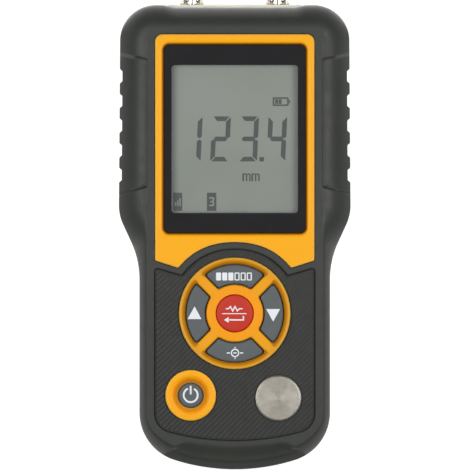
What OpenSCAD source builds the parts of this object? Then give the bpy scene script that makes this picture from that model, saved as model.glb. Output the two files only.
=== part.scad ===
// Handheld ultrasonic thickness gauge, lying on its back.
// X runs to the right of the keypad, Y towards the probe sockets, Z out of the display.
// All lengths are in millimetres.

/* [Housing] */
// Half width of the head at its lower end
head_hw = 40; // [39.8:0.1:40.4]
// Half width of the head at its shoulders
shld_hw = 39.6; // [39.4:0.1:39.8]
// Half width of the waist
waist_hw = 32.9; // [32.7:0.1:33.2]
// Top end of the housing
top_y = 78.46; // [78.3:0.02:78.6]
// Bottom end of the housing
bot_y = -82; // [-82.2:0.1:-81.8]
// Height of the front face above the resting face
front_z = 36; // [35.8:0.1:36.2]
// Height of the joint between the two halves
part_z = 18; // [17.8:0.1:18.2]
// Thickness of the rubber skin
skin_t = 2.2; // [2.1:0.05:2.3]
// Thickness of the hard shells
shell_t = 2; // [1.8:0.1:2.1]
// Radius of the shoulders
top_r = 12.4; // [12:0.1:13]
// Radius of the bottom corners
cor_r = 17.25; // [16.5:0.25:18]
// Radius of the bottom edge
bot_r = 69; // [66:1:72]
// Where the head starts to narrow
neck_y = 9.1; // [8.8:0.1:9.4]
// Slope of the neck, in degrees
neck_a = 24.7; // [24:0.1:25.5]

/* [Grip] */
// Number of notches on each side
grip_n = 5; // [3:1:5]
// Distance from one notch to the next
grip_pitch = 8.54; // [8.2:0.02:8.8]
// Depth of a notch
grip_depth = 0.9; // [0.4:0.1:1.2]

/* [Display] */
// Half width of the bezel
bezel_hw = 27.6; // [27.4:0.1:27.8]
// Top edge of the bezel
bezel_top = 68.3; // [68.1:0.1:68.5]
// Half width of the lens opening
lens_hw = 24.85; // [24.7:0.05:25]
// Half width of the visible display area
view_hw = 21.8; // [21:0.1:22.2]

/* [Keypad] */
// Centre of the key ring along the body
ring_y = -28.1; // [-28.2:0.1:-28]
// Outer radius of the key ring
ring_r = 19.3; // [19.1:0.1:19.5]
// Outer radius of the four outer keys
key_r1 = 17; // [16.8:0.1:17.1]
// Inner radius of the four outer keys
key_r0 = 10; // [9.8:0.1:10.2]
// Half width of a spoke, gaps included
spoke_h = 1.95; // [1.8:0.05:2.1]
// Radius of the enter key
enter_r = 6.42; // [6.2:0.02:6.6]
// Travel of every key
travel = 1; // [0.6:0.1:1]
// Gap between a key and its opening
key_gap = 0.15; // [0.12:0.01:0.18]
// Outer radius of the power ring
pring_r = 8.75; // [8.6:0.05:8.9]
// Radius of the power key
power_r = 4.4; // [4.3:0.05:4.5]
// Radius of the zero block
block_r = 8; // [7.8:0.05:8.1]

/* [Sockets and cells] */
// Distance of each probe socket from the middle
sock_x = 14.8; // [14.6:0.1:15]
// Radius of the socket bore
sock_bore = 2.5; // [2.4:0.05:2.6]
// Depth of the socket bore
sock_depth = 6; // [5:0.5:6]
// Radius of a battery cell
cell_r = 5.25; // [5:0.05:5.25]
// Length of a battery cell
cell_l = 44.5; // [44:0.1:44.5]

/* [Hidden] */
$fn = 64;

RUBBER = "#3f4240";
PANEL = "#383a38";
ORANGE = "#f7a51e";
KEYGREY = "#64676b";
RED = "#c93a2b";
STEEL = "#b9b7b0";
NICKEL = "#c9c8c2";
BRASS = "#c9a44a";
BOARD = "#1f6b3a";
BLACK = "#222424";
WHITE = "#e8e8e4";
CREAM = "#efe3c8";

gap = 0.03;                       // half the gap at the joint between the halves
sd = skin_t + 0.05;               // the shell's outside lies this far inside the skin's
si = sd + shell_t;                // the shell's inside
rear_w = 4;                       // how far the rear edge's rounding reaches in
rear_h = 6;                       // how high it starts
neck_r1 = 15.7;
neck_r2 = 30.5;
power_x = -15.2;
power_y = -56.4;
block_x = 15.05;
block_y = -57.4;
ear_d = 8.6;
panel_z = 34.8;                   // top of the keypad panel
lens_z = 33.95;
plate_x = 23.2;
plate_z0 = 9;
plate_z1 = 27;
plate_y = 78.5;
board_z0 = 21.9;
board_z1 = 23.5;
case_pts = [[29, 66], [-29, 66], [22.8, -40], [-22.8, -40]];
board_pts = [[30, 30], [-30, 30], [23.5, -14], [-23.5, -14], [0, -66]];
pin_pts = [[15, 66.6], [-15, 66.6], [22, -6], [-22, -6]];
cell_x = [-11, 0, 11];
cell_z = 8.95;
box_hw = 17.2;
box_y0 = -69.5;
box_y1 = -18.5;

// ---- plane outlines -------------------------------------------------------

function unit(v) = v / norm(v);
function tail(l) = [for (i = [1 : len(l) - 1]) l[i]];
function mix(a, b, t) = a + (b - a) * t;
function ease(t) = let(u = min(1, max(0, t))) u * u * (3 - 2 * u);
function arc(cx, cy, r, a0, a1, n) = [for (i = [0 : n]) let(a = a0 + (a1 - a0) * i / n) [cx + r * cos(a), cy + r * sin(a)]];
// a closed outline from its right half, which runs from the bottom middle to the top middle
function both(h) = concat(h, [for (i = [len(h) - 2 : -1 : 1]) [-h[i][0], h[i][1]]]);
function miter(p, i) = let(n = len(p), a = unit(p[i] - p[(i + n - 1) % n]), b = unit(p[(i + 1) % n] - p[i]),
    na = [a[1], -a[0]], nb = [b[1], -b[0]]) (na + nb) / (1 + na * nb);
function shrink(p, d) = [for (i = [0 : len(p) - 1]) p[i] - d * miter(p, i)];
function rrect(x0, x1, y0, y1, r) = concat(
    arc(x1 - r, y0 + r, r, -90, 0, 4), arc(x1 - r, y1 - r, r, 0, 90, 4),
    arc(x0 + r, y1 - r, r, 90, 180, 4), arc(x0 + r, y0 + r, r, 180, 270, 4));

bot_cy = bot_y + bot_r;
cor_cx = waist_hw - cor_r;
cor_cy = bot_cy - sqrt(pow(bot_r - cor_r, 2) - cor_cx * cor_cx);
cor_a = atan2(cor_cy - bot_cy, cor_cx);
neck_dx = head_hw - waist_hw - (neck_r1 + neck_r2) * (1 - cos(neck_a));
neck_lo = neck_y - (neck_r1 + neck_r2) * sin(neck_a) - neck_dx / tan(neck_a);

outline = both(concat(
    arc(0, bot_cy, bot_r, -90, cor_a, 5),
    tail(arc(cor_cx, cor_cy, cor_r, cor_a, 0, 8)),
    [for (t = [1 : 4]) [waist_hw, mix(cor_cy, neck_lo, t / 4)]],
    tail(arc(waist_hw + neck_r2, neck_lo, neck_r2, 180, 180 - neck_a, 5)),
    arc(head_hw - neck_r1, neck_y, neck_r1, -neck_a, 0, 4),
    [for (t = [1 : 5]) [mix(head_hw, shld_hw, t / 5), mix(neck_y, top_y - top_r, t / 5)]],
    tail(arc(shld_hw - top_r, top_y - top_r, top_r, 0, 90, 8)),
    [for (t = [1 : 3]) [(shld_hw - top_r) * (1 - t / 3), top_y]]
));
on = len(outline);
om = [for (i = [0 : on - 1]) miter(outline, i)];
function inset(d) = [for (i = [0 : on - 1]) outline[i] - d * om[i]];

// opening of the skin round the bezel: straight sides, arched over the key ring
arch_r = 24.9;
arch_x = 19.44;
bezel_hole = both(concat(
    arc(0, ring_y, arch_r, 90, acos(arch_x / arch_r), 8),
    [[bezel_hw, -9.95]],
    arc(bezel_hw - 2.7, bezel_top - 2.7, 2.7, 0, 90, 5),
    [[0, bezel_top]]
));
// opening of the skin round the keypad panel
parch_r = 22.3;
parch_x = 18.2;
pcor_r = 6.5;
pbot_r = 88;
pbot_cy = -71.9 + pbot_r;
pcor_x = bezel_hw - pcor_r;
pcor_y = pbot_cy - sqrt(pow(pbot_r - pcor_r, 2) - pcor_x * pcor_x);
panel_hole = both(concat(
    arc(0, pbot_cy, pbot_r, -90, atan2(pcor_y - pbot_cy, pcor_x), 5),
    tail(arc(pcor_x, pcor_y, pcor_r, atan2(pcor_y - pbot_cy, pcor_x), 0, 6)),
    [[bezel_hw, -12.5]],
    arc(0, ring_y, parch_r, acos(parch_x / parch_r), 90, 8)
));
lens_hole = rrect(-lens_hw, lens_hw, -0.65, 65.1, 2.3);

// ---- solids shared by several pieces --------------------------------------

module slab(p, z0, z1) translate([0, 0, z0]) linear_extrude(z1 - z0) polygon(p);
module block(x0, x1, y0, y1, z0, z1) translate([x0, y0, z0]) cube([x1 - x0, y1 - y0, z1 - z0]);
module post(x, y, r, z0, z1) translate([x, y, z0]) cylinder(r = r, h = z1 - z0);
// a cylinder along Y
module bar(x, z, r, y0, y1) translate([x, y0, z]) rotate([-90, 0, 0]) cylinder(r = r, h = y1 - y0);

// reach and height of the front edge's rounding: wide at the head, tight at the waist
function front_w(y) = y > -30 ? mix(2.6, 8, ease((y + 18) / 28)) : mix(2.6, 5.2, ease((-62 - y) / 18));
function front_h(y) = y > -30 ? mix(3.4, 8, ease((y + 18) / 28)) : mix(3.4, 6, ease((-62 - y) / 18));

// half of the body with its end edge rounded over: d inside the skin's outside.
// The loft runs a little past both ends and is trimmed flat, so each end is one plane.
module half_body(d, front, z0, z1) {
    k = d > 0 ? 3 : 6;
    pts = concat(
        [for (i = [0 : on - 1]) let(p = outline[i] - d * om[i]) [p[0], p[1], z0 - 2]],
        [for (j = [0 : k], i = [0 : on - 1]) let(
            y = outline[i][1],
            w = max((front ? front_w(y) : rear_w) - d, 0.3),
            h = max((front ? front_h(y) : rear_h) - d, 0.3),
            a = 90 * j / k,
            p = outline[i] - (d + w * (1 - cos(a))) * om[i])
            [p[0], p[1], z1 - d + 0.05 - h * (1 - sin(a))]]
    );
    difference() {
        polyhedron(points = pts, faces = concat(
            [[for (i = [0 : on - 1]) i]],
            [for (j = [0 : k], i = [0 : on - 1]) let(a = j * on + i, b = j * on + (i + 1) % on)
                each [[a, a + on, b + on], [a, b + on, b]]],
            [[for (i = [on - 1 : -1 : 0]) (k + 1) * on + i]]
        ));
        block(-60, 60, -100, 100, z0 - 5, z0);
        block(-60, 60, -100, 100, z1 - d, z1 + 5);
    }
}
module front_half(d, z0) half_body(d, true, z0, front_z);
// the rear half is measured down from the joint
module rear_half(d, z0) translate([0, 0, part_z]) mirror([0, 0, 1]) half_body(d, false, part_z - z0, part_z);

// the dip at the probe end that bares the top plate, and the plate's window
module top_dip() slab([[-25.6, top_y + 4], [-25.1, top_y + 0.1], [-20.5, top_y - 1.16], [20.5, top_y - 1.16], [25.1, top_y + 0.1], [25.6, top_y + 4]], -1, front_z + 2);
module plate_window() block(-plate_x - 0.2, plate_x + 0.2, 70, 90, plate_z0 - 0.2, plate_z1 + 0.2);

// notches of the grip, all along the side
module grip_notches() {
    for (s = [-1, 1], i = [0 : grip_n - 1]) {
        y = 19.64 + i * grip_pitch;
        x = mix(head_hw, shld_hw, (y - neck_y) / (top_y - top_r - neck_y));
        w = 1.65 + 1.05 * (grip_depth + 1);
        slab([[s * (x + 1), y - w], [s * (x - grip_depth), y - 1.65], [s * (x - grip_depth), y + 1.65], [s * (x + 1), y + w]], -1, front_z + 1);
    }
}

// one of the four outer keys seen from the front, pointing along +Y
module key_2d(r0, r1, off) intersection() {
    difference() { circle(r1); circle(r0); }
    polygon([[0, off * sqrt(2)], [30, 30 + off * sqrt(2)], [-30, 30 + off * sqrt(2)]]);
}
module outer_key(a) translate([0, ring_y, 0]) rotate([0, 0, a]) {
    translate([0, 0, 33]) linear_extrude(2.9) key_2d(key_r0 + key_gap, key_r1 - key_gap, spoke_h + key_gap);
    translate([0, 0, 32.7]) linear_extrude(0.8) key_2d(9.4, 17.7, 1.3);
    translate([0, 13.5, 28.6]) cylinder(r = 1.5, h = 4.4);
}
module plunger(x, y) color(BLACK) post(x, y, 1.7, 25.6, 28.6);
module tact(x, y) difference() {
    block(x - 3, x + 3, y - 3, y + 3, board_z1 + 0.02, 27.1);
    post(x, y, 1.8, 25.6 - travel - 0.3, 28);
}

// a tube along a path of points
module tube(path, r, sides = 8) {
    n = len(path);
    function tan_at(i) = unit(path[min(i + 1, n - 1)] - path[max(i - 1, 0)]);
    pts = [for (i = [0 : n - 1], s = [0 : sides - 1]) let(
        t = tan_at(i), u = unit(cross(t, [0.31, 0.22, 0.92])), v = cross(t, u), a = 360 * s / sides)
        path[i] + r * (cos(a) * u + sin(a) * v)];
    polyhedron(points = pts, faces = concat(
        [[for (s = [0 : sides - 1]) s]],
        [for (i = [0 : n - 2], s = [0 : sides - 1]) let(a = i * sides + s, b = i * sides + (s + 1) % sides)
            each [[a, a + sides, b + sides], [a, b + sides, b]]],
        [[for (s = [sides - 1 : -1 : 0]) (n - 1) * sides + s]]
    ));
}
// a smooth path through a few points
function bez(p, t) = len(p) == 1 ? p[0] : bez([for (i = [0 : len(p) - 2]) mix(p[i], p[i + 1], t)], t);
function curve(p, n) = [for (i = [0 : n]) bez(p, i / n)];

// ---- the housing ----------------------------------------------------------

module front_overmould() color(RUBBER) difference() {
    front_half(0, part_z + gap);
    front_half(skin_t, part_z - 1);
    slab(bezel_hole, 30, 40);
    slab(panel_hole, 30, 40);
    grip_notches();
    top_dip();
    plate_window();
}

module rear_overmould() color(RUBBER) difference() {
    rear_half(0, part_z - gap);
    rear_half(skin_t, part_z + 1);
    slab(inset(7), -1, 6);
    grip_notches();
    top_dip();
    plate_window();
}

module seal_ring(d0, d1, z0, z1) difference() {
    slab(inset(d0), z0, z1);
    slab(inset(d1), z0 - 1, z1 + 1);
    block(-27, 27, 60, 90, z0 - 2, z1 + 2);
}
module case_seal() color(BLACK) seal_ring(sd + 0.6, sd + 1.4, part_z - 0.5, part_z + 0.5);
module seal_groove() seal_ring(sd + 0.55, sd + 1.45, part_z - 0.55, part_z + 0.55);

module front_shell() color(PANEL) difference() {
    union() {
        difference() {
            union() {
                front_half(sd, part_z + gap);
                slab(shrink(panel_hole, 0.1), 33, panel_z);
            }
            front_half(si, part_z - 1);
        }
        for (p = case_pts) post(p[0], p[1], 3.2, part_z + 0.15, 32.2);
        for (p = board_pts) post(p[0], p[1], 2.8, board_z1 + 0.02, 32.2);
        for (s = [-1, 1]) post(block_x + s * ear_d, block_y + s * ear_d, 1.8, 30.4, 32.2);
    }
    for (p = case_pts) post(p[0], p[1], 1.25, part_z, 27);
    for (p = board_pts) post(p[0], p[1], 1.05, board_z1 - 1, 29);
    for (p = pin_pts) post(p[0], p[1], 1.05, 30, 35);
    for (s = [-1, 1]) post(block_x + s * ear_d, block_y + s * ear_d, 0.85, 30, 33);
    slab(rrect(-view_hw - 0.8, view_hw + 0.8, 4.5, 59.5, 1), 30, 36);
    post(0, ring_y, ring_r + 0.1, 30, 38);
    post(power_x, power_y, pring_r + 0.1, 30, 38);
    post(block_x, block_y, block_r + 0.1, 30, 38);
    plate_window();
    seal_groove();
}

module rear_shell() color(PANEL) difference() {
    union() {
        difference() {
            union() {
                rear_half(sd, part_z - gap);
                slab(inset(7.1), 0.6, 3.2);
            }
            rear_half(si, part_z + 1);
        }
        for (p = case_pts) post(p[0], p[1], 4, 3.5, part_z - gap);
        block(-box_hw - 1.4, box_hw + 1.4, box_y0 - 1.4, box_y1 + 1.4, 3.5, 16);
        post(0, -13.6, 3, 3.5, 9.5);
    }
    // cell compartment and the seat of its cover
    block(-box_hw, box_hw, box_y0, box_y1, -1, 14.6);
    slab(rrect(-19.1, 19.1, -71.1, -16.9, 2), -1, 2.7);
    slab(rrect(-5.1, 5.1, -20, -9.9, 2), -1, 2.7);
    for (s = [-1, 1]) block(s * 10 - 2.1, s * 10 + 2.1, -72.5, -70, 1.75, 2.75);
    post(0, -13.6, 1.25, 1, 8.6);
    // slots for the tails of the end contacts
    block(9.7, 12.3, box_y0, box_y0 + 0.8, 10, 18);
    block(-12.3, -9.7, box_y1 - 0.8, box_y1, 10, 18);
    // screw holes from the back
    for (p = case_pts) {
        post(p[0], p[1], 2.5, -1, 7.6);
        post(p[0], p[1], 1.5, 7, 20);
    }
    plate_window();
    seal_groove();
}

module case_screws() color(STEEL) for (p = case_pts) difference() {
    union() {
        post(p[0], p[1], 2.2, 6, 7.55);
        post(p[0], p[1], 1.2, 7, 25.5);
    }
    translate([p[0], p[1], 5]) for (a = [0, 90]) rotate([0, 0, a]) translate([-1.3, -0.3, 0]) cube([2.6, 0.6, 1.8]);
}

// ---- display --------------------------------------------------------------

module display_bezel() color(ORANGE) {
    difference() {
        slab(shrink(bezel_hole, 0.1), 33.8, 36.5);
        slab(lens_hole, 33, 38);
    }
    for (p = pin_pts) post(p[0], p[1], 1, 31.2, 34);
}
module display_lens() color(BLACK) slab(shrink(lens_hole, 0.1), lens_z, 35.4);
module lens_gasket() color("#101010") difference() {
    slab(shrink(lens_hole, 0.3), 33.77, lens_z - 0.01);
    slab(rrect(-22.8, 22.8, 4.3, 59.7, 1), 33, 35);
}
module lcd_panel() color("#868d85") slab(rrect(-24, 24, 2.5, 61.5, 0.4), 29.5, 31.7);
module lcd_backlight() color(WHITE) difference() {
    slab(rrect(-24, 24, 6, 61.5, 0.6), 26.6, 29.45);
    for (s = [-1, 1]) block(s * 24 - 1, s * 24 + 1, 30, 36, 26, 27.6);
}
module lcd_holder() color(BLACK) {
    difference() {
        slab(rrect(-26, 26, 0.8, 63.2, 1), board_z1 + 0.05, 31.6);
        block(-24.2, 24.2, 2.3, 61.7, 20, 40);
        for (s = [-1, 1]) block(s * 25 - 2, s * 25 + 2, 26, 34, board_z1 - 1, 26.4);
    }
    difference() {
        block(-24.5, 24.5, 2, 62, 25.4, 26.5);
        block(-21.8, 21.8, 1, 59, 20, 40);
    }
}
module elastomer_strip() color("#c8643c") block(-21.5, 21.5, 3, 5, board_z1 + 0.02, 29.48);

// ---- keypad ---------------------------------------------------------------

module key_ring() color(ORANGE) translate([0, ring_y, 0]) difference() {
    rotate_extrude() polygon([
        [0, 33.7], [18, 33.7], [18, 30.6], [20.9, 30.6], [20.9, 31.7], [ring_r, 31.7],
        [ring_r, 36], [ring_r - 0.2, 36.35], [ring_r - 0.6, 36.5], [17.6, 36.42], [13, 36.2], [0, 36.2]]);
    for (a = [0 : 90 : 270]) rotate([0, 0, a]) {
        translate([0, 0, 33]) linear_extrude(5) key_2d(key_r0, key_r1, spoke_h);
        // a slope leads from the rim down to each outer key
        intersection() {
            rotate_extrude() polygon([[key_r1 - 1, 34.9], [key_r1, 34.9], [key_r1 + 1.45, 36.45], [key_r1 + 1.45, 38], [key_r1 - 1, 38]]);
            translate([0, 0, 33]) linear_extrude(5) key_2d(key_r0, key_r1 + 3, spoke_h);
        }
    }
    translate([0, 0, 33]) cylinder(r = enter_r + key_gap, h = 5);
}
module memory_key() color(KEYGREY) outer_key(0);
module up_key() color(KEYGREY) outer_key(90);
module cal_key() color(KEYGREY) outer_key(180);
module down_key() color(KEYGREY) outer_key(270);
module enter_key() color(RED) {
    post(0, ring_y, enter_r, 33, 36);
    post(0, ring_y, enter_r + 0.9, 32.7, 33.5);
    post(0, ring_y, 1.5, 28.6, 33);
}
module memory_plunger() plunger(0, ring_y + 13.5);
module cal_plunger() plunger(0, ring_y - 13.5);
module up_plunger() plunger(-13.5, ring_y);
module down_plunger() plunger(13.5, ring_y);
module enter_plunger() plunger(0, ring_y);

module power_ring() color(ORANGE) translate([power_x, power_y, 0]) rotate_extrude() polygon([
    [power_r + key_gap, 33.7], [7.6, 33.7], [7.6, 30.6], [10, 30.6], [10, 31.7], [pring_r, 31.7],
    [pring_r, 36], [pring_r - 0.3, 36.4], [pring_r - 1, 36.5], [pring_r - 2.4, 36.2], [pring_r - 3.4, 35.4],
    [pring_r - 3.9, 35.05], [power_r + key_gap, 35]]);
module power_key() color(KEYGREY) {
    post(power_x, power_y, power_r, 33, 35.7);
    post(power_x, power_y, 5.6, 32.7, 33.5);
    post(power_x, power_y, 1.5, 28.6, 33);
}
module power_plunger() plunger(power_x, power_y);
module tact_switches() color("#2c2c2e") {
    tact(0, ring_y);
    for (a = [0 : 90 : 270]) tact(13.5 * cos(a), ring_y + 13.5 * sin(a));
    tact(power_x, power_y);
}

module zero_block() color(STEEL) translate([block_x, block_y, 0]) rotate_extrude() polygon([
    [0, 30.4], [9.4, 30.4], [9.4, 31.7], [block_r, 31.7], [block_r, 35.2], [block_r - 0.5, 35.6], [0, 35.6]]);
module block_retainer() color(NICKEL) difference() {
    union() {
        post(block_x, block_y, 10.4, 29.3, 30.35);
        for (s = [-1, 1]) post(block_x + s * ear_d, block_y + s * ear_d, 2.4, 29.3, 30.35);
    }
    post(block_x, block_y, 6, 28, 32);
    for (s = [-1, 1]) post(block_x + s * ear_d, block_y + s * ear_d, 1, 28, 32);
}
module retainer_screws() color(STEEL) for (s = [-1, 1]) {
    post(block_x + s * ear_d, block_y + s * ear_d, 1.6, 28.2, 29.28);
    post(block_x + s * ear_d, block_y + s * ear_d, 0.8, 28.8, 32.6);
}

// ---- circuit board --------------------------------------------------------

module main_board() color(BOARD) difference() {
    slab(both([[0, -69], [20, -69], [26, -60], [26, -16], [32, 2], [33, 8], [33, 60], [31, 62], [0, 62]]), board_z0, board_z1);
    for (p = [case_pts[2], case_pts[3]]) post(p[0], p[1], 3.6, 20, 26);
    for (p = board_pts) post(p[0], p[1], 1.3, 20, 26);
}
module board_screws() color(STEEL) for (p = board_pts) difference() {
    union() {
        post(p[0], p[1], 2, 20.4, board_z0 - 0.02);
        post(p[0], p[1], 1, 21, 28.5);
    }
    translate([p[0], p[1], 20]) for (a = [0, 90]) rotate([0, 0, a]) translate([-1.1, -0.25, 0]) cube([2.2, 0.5, 1]);
}
module processor() color(BLACK) {
    block(-6, 6, 22, 34, 20.3, 21.6);
    for (a = [0 : 90 : 270], i = [-4 : 4]) translate([0, 28, 0]) rotate([0, 0, a]) block(i * 1.2 - 0.2, i * 1.2 + 0.2, 5.8, 7.4, 20.8, 21.88);
}
module pulser_chip() color(BLACK) {
    block(10, 17, 44, 50, 20.3, 21.6);
    for (s = [-1, 1], i = [-2 : 2]) block(13.5 + i * 1.27 - 0.2, 13.5 + i * 1.27 + 0.2, 47 + s * 3.7 - 0.9, 47 + s * 3.7 + 0.9, 20.8, 21.88);
}
module pulse_transformer() color("#3a3a30") difference() {
    block(-20, -10, 42, 52, 15.5, board_z0 - 0.02);
    block(-18.8, -11.2, 41, 53, 16.8, 20.4);
}
module crystal() color(NICKEL) slab(rrect(12, 22, 24, 28, 1.9), 18.4, board_z0 - 0.02);
module capacitors() color("#20242c") {
    for (p = [[-16, 12], [-8, 12], [16, 12]]) post(p[0], p[1], 3, 15.6, board_z0 - 0.02);
}
module buzzer() color(BLACK) difference() {
    post(24, 37, 6, 17, board_z0 - 0.02);
    post(24, 37, 1, 16, 18);
}

// ---- probe end ------------------------------------------------------------

module top_plate() color(CREAM) difference() {
    union() {
        block(-plate_x, plate_x, 74, plate_y, plate_z0, plate_z1);
        block(-25.3, 25.3, 72.2, 74, 7.7, 28.3);
    }
    for (s = [-1, 1]) bar(s * sock_x, part_z, 3.5, 60, 90);
}
module probe_sockets() color(NICKEL) for (s = [-1, 1]) translate([s * sock_x, 82, part_z]) rotate([90, 0, 0]) rotate_extrude() polygon([
    [sock_bore, 0], [3.9, 0], [4.1, 0.2], [4.1, 3.45], [3.4, 3.45], [3.4, 15], [2.9, 15], [2.9, 17.5],
    [2.2, 17.5], [2.2, sock_depth], [sock_bore, sock_depth]]);
module socket_insulators() color(WHITE) for (s = [-1, 1]) difference() {
    bar(s * sock_x, part_z, 2.15, 65, 82 - sock_depth - 0.05);
    bar(s * sock_x, part_z, 0.8, 60, 90);
}
module socket_contacts() color(BRASS) for (s = [-1, 1]) difference() {
    bar(s * sock_x, part_z, 0.75, 63, 82 - sock_depth - 0.1);
    bar(s * sock_x, part_z, 0.4, 71, 90);
}
module lock_washers() color(STEEL) for (s = [-1, 1]) difference() {
    bar(s * sock_x, part_z, 5.2, 71.3, 72.15);
    bar(s * sock_x, part_z, 3.45, 60, 90);
}
module socket_nuts() color(NICKEL) for (s = [-1, 1]) difference() {
    translate([s * sock_x, 69, part_z]) rotate([-90, 0, 0]) cylinder(r = 5.1, h = 2.25, $fn = 6);
    bar(s * sock_x, part_z, 3.45, 60, 90);
}
module inner_leads() color(BLACK) for (s = [-1, 1])
    tube(curve([[s * sock_x, 62.9, part_z], [s * sock_x, 58, part_z - 0.5], [s * (sock_x - 1), 55, 17], [s * (sock_x - 9), 53.4, 17], [s * (sock_x - 9), 53, 19.4], [s * (sock_x - 9), 53, 21.8]], 12), 0.9);

// ---- cells ----------------------------------------------------------------

module battery_cover() color(PANEL) difference() {
    union() {
        slab(rrect(-18.95, 18.95, -70.95, -17.05, 1.9), 0.6, 2.6);
        slab(rrect(-4.95, 4.95, -20, -10.05, 1.9), 0.6, 2.6);
        for (s = [-1, 1]) block(s * 10 - 1.9, s * 10 + 1.9, -72.3, -70, 1.85, 2.6);
    }
    post(0, -13.6, 2.4, 0, 1.8);
    post(0, -13.6, 1.35, 0, 4);
    // finger grooves
    for (i = [0 : 5]) block(-9, 9, -66 + i * 2.2, -65 + i * 2.2, 0, 0.95);
}
module cover_screw() color(STEEL) difference() {
    union() {
        post(0, -13.6, 2.15, 0.75, 1.78);
        post(0, -13.6, 1.2, 1.5, 8.2);
    }
    translate([0, -13.6, 0]) for (a = [0, 90]) rotate([0, 0, a]) translate([-1.2, -0.25, 0]) cube([2.4, 0.5, 1.2]);
}
module cover_pad() color("#55565a") slab(rrect(-14, 14, -60, -28, 1), 2.63, 3.65);
// each cell's flat end is towards its spring
module cell(x, s) translate([x, (box_y0 + box_y1) / 2, cell_z]) rotate([s > 0 ? -90 : 90, 0, 0]) translate([0, 0, 25.05 - cell_l]) rotate_extrude() polygon([
    [0, 0], [cell_r - 0.5, 0], [cell_r, 0.4], [cell_r, cell_l - 1.5], [cell_r - 0.5, cell_l - 1], [1.9, cell_l - 1], [1.9, cell_l], [0, cell_l]]);
module battery_cells() color("#3c4a5a") { cell(cell_x[0], 1); cell(cell_x[1], -1); cell(cell_x[2], 1); }
module spring(x, s) translate([x, s > 0 ? box_y0 + 0.45 : box_y1 - 0.45, cell_z]) rotate([s > 0 ? -90 : 90, 0, 0])
    tube([for (i = [0 : 36]) let(t = i / 36, a = 360 * 3 * t, r = mix(3.6, 2.1, t)) [r * cos(a), r * sin(a), mix(0.42, 5, t)]], 0.36, 6);
module cell_springs() color(NICKEL) { spring(cell_x[0], 1); spring(cell_x[1], -1); spring(cell_x[2], 1); }
module cell_contacts() color(NICKEL) {
    block(-15.5, 4, box_y0 + 0.02, box_y0 + 0.42, 4.5, 13.4);
    block(6.5, 15.5, box_y0 + 0.02, box_y0 + 0.42, 4.5, 13.4);
    block(10, 12, box_y0 + 0.02, box_y0 + 0.42, 13, 17.5);
    block(-15.5, -6.5, box_y1 - 0.42, box_y1 - 0.02, 4.5, 13.4);
    block(-12, -10, box_y1 - 0.42, box_y1 - 0.02, 13, 17.5);
    block(-4, 15.5, box_y1 - 0.42, box_y1 - 0.02, 4.5, 13.4);
}
module battery_leads() {
    color("#b02020") tube(curve([[-11, box_y1 - 0.22, 17.55], [-11, box_y1, 20], [-12, -16, 19], [-12, -11.3, 18.2], [-12, -11, 19.8], [-12, -11, 21.82]], 10), 0.55);
    color("#151515") tube(curve([[11, box_y0 + 0.22, 17.55], [11, box_y0, 20], [12, -68, 18.5], [12, -62.3, 18.2], [12, -62, 19.8], [12, -62, 21.82]], 10), 0.55);
}

front_overmould();
rear_overmould();
front_shell();
rear_shell();
case_seal();
case_screws();
display_bezel();
display_lens();
lens_gasket();
lcd_panel();
lcd_backlight();
lcd_holder();
elastomer_strip();
key_ring();
memory_key();
cal_key();
up_key();
down_key();
enter_key();
memory_plunger();
cal_plunger();
up_plunger();
down_plunger();
enter_plunger();
power_ring();
power_key();
power_plunger();
tact_switches();
zero_block();
block_retainer();
retainer_screws();
main_board();
board_screws();
processor();
pulser_chip();
pulse_transformer();
crystal();
capacitors();
buzzer();
top_plate();
probe_sockets();
socket_insulators();
socket_contacts();
lock_washers();
socket_nuts();
inner_leads();
battery_cover();
cover_screw();
cover_pad();
battery_cells();
cell_springs();
cell_contacts();
battery_leads();
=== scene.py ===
import math

import bpy
import bmesh
import numpy as np
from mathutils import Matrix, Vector
from mathutils.geometry import delaunay_2d_cdt


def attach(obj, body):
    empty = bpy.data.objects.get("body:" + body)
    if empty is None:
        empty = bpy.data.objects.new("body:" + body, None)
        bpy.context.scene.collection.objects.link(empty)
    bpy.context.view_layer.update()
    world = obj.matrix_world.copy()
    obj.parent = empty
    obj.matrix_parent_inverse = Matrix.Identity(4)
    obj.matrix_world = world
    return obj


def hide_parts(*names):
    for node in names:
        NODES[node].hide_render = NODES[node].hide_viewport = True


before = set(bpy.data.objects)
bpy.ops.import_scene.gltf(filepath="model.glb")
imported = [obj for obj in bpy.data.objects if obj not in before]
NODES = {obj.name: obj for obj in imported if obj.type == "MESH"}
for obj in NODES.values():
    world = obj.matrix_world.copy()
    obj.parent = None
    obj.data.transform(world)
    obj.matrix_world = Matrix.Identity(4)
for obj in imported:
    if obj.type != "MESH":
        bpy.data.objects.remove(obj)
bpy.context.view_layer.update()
MM = 0.001
D = math.radians

# ---------------------------------------------------------------- main sizes, in millimetres
FRONT_Z, PART_Z, GAP, SKIN = 36.0, 18.0, 0.03, 2.2
HEAD_HW, SHLD_HW, WAIST_HW = 40.0, 39.6, 32.9
TOP_Y, BOT_Y = 78.46, -82.0
RING_Y, RING_R = -28.1, 19.3
POWER = (-15.2, -56.4)
BLOCK = (15.05, -57.4)
SOCK_X = 14.8


def smooth(a, b, x):
    t = np.clip((np.asarray(x, float) - a) / (b - a), 0, 1)
    return t * t * (3 - 2 * t)


def mix(a, b, t):
    return a + (b - a) * t


# ---------------------------------------------------------------- plane curves
def arc(cx, cy, r, a0, a1, step=0.4, n=None):
    n = n or max(2, int(math.ceil(abs(D(a1 - a0)) * r / step)))
    a = np.radians(np.linspace(a0, a1, n + 1))
    return np.column_stack([cx + r * np.cos(a), cy + r * np.sin(a)])


def line(p, q, step=0.5, n=None):
    p, q = np.array(p, float), np.array(q, float)
    n = n or max(1, int(math.ceil(np.linalg.norm(q - p) / step)))
    t = np.linspace(0, 1, n + 1)[:, None]
    return p * (1 - t) + q * t


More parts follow.
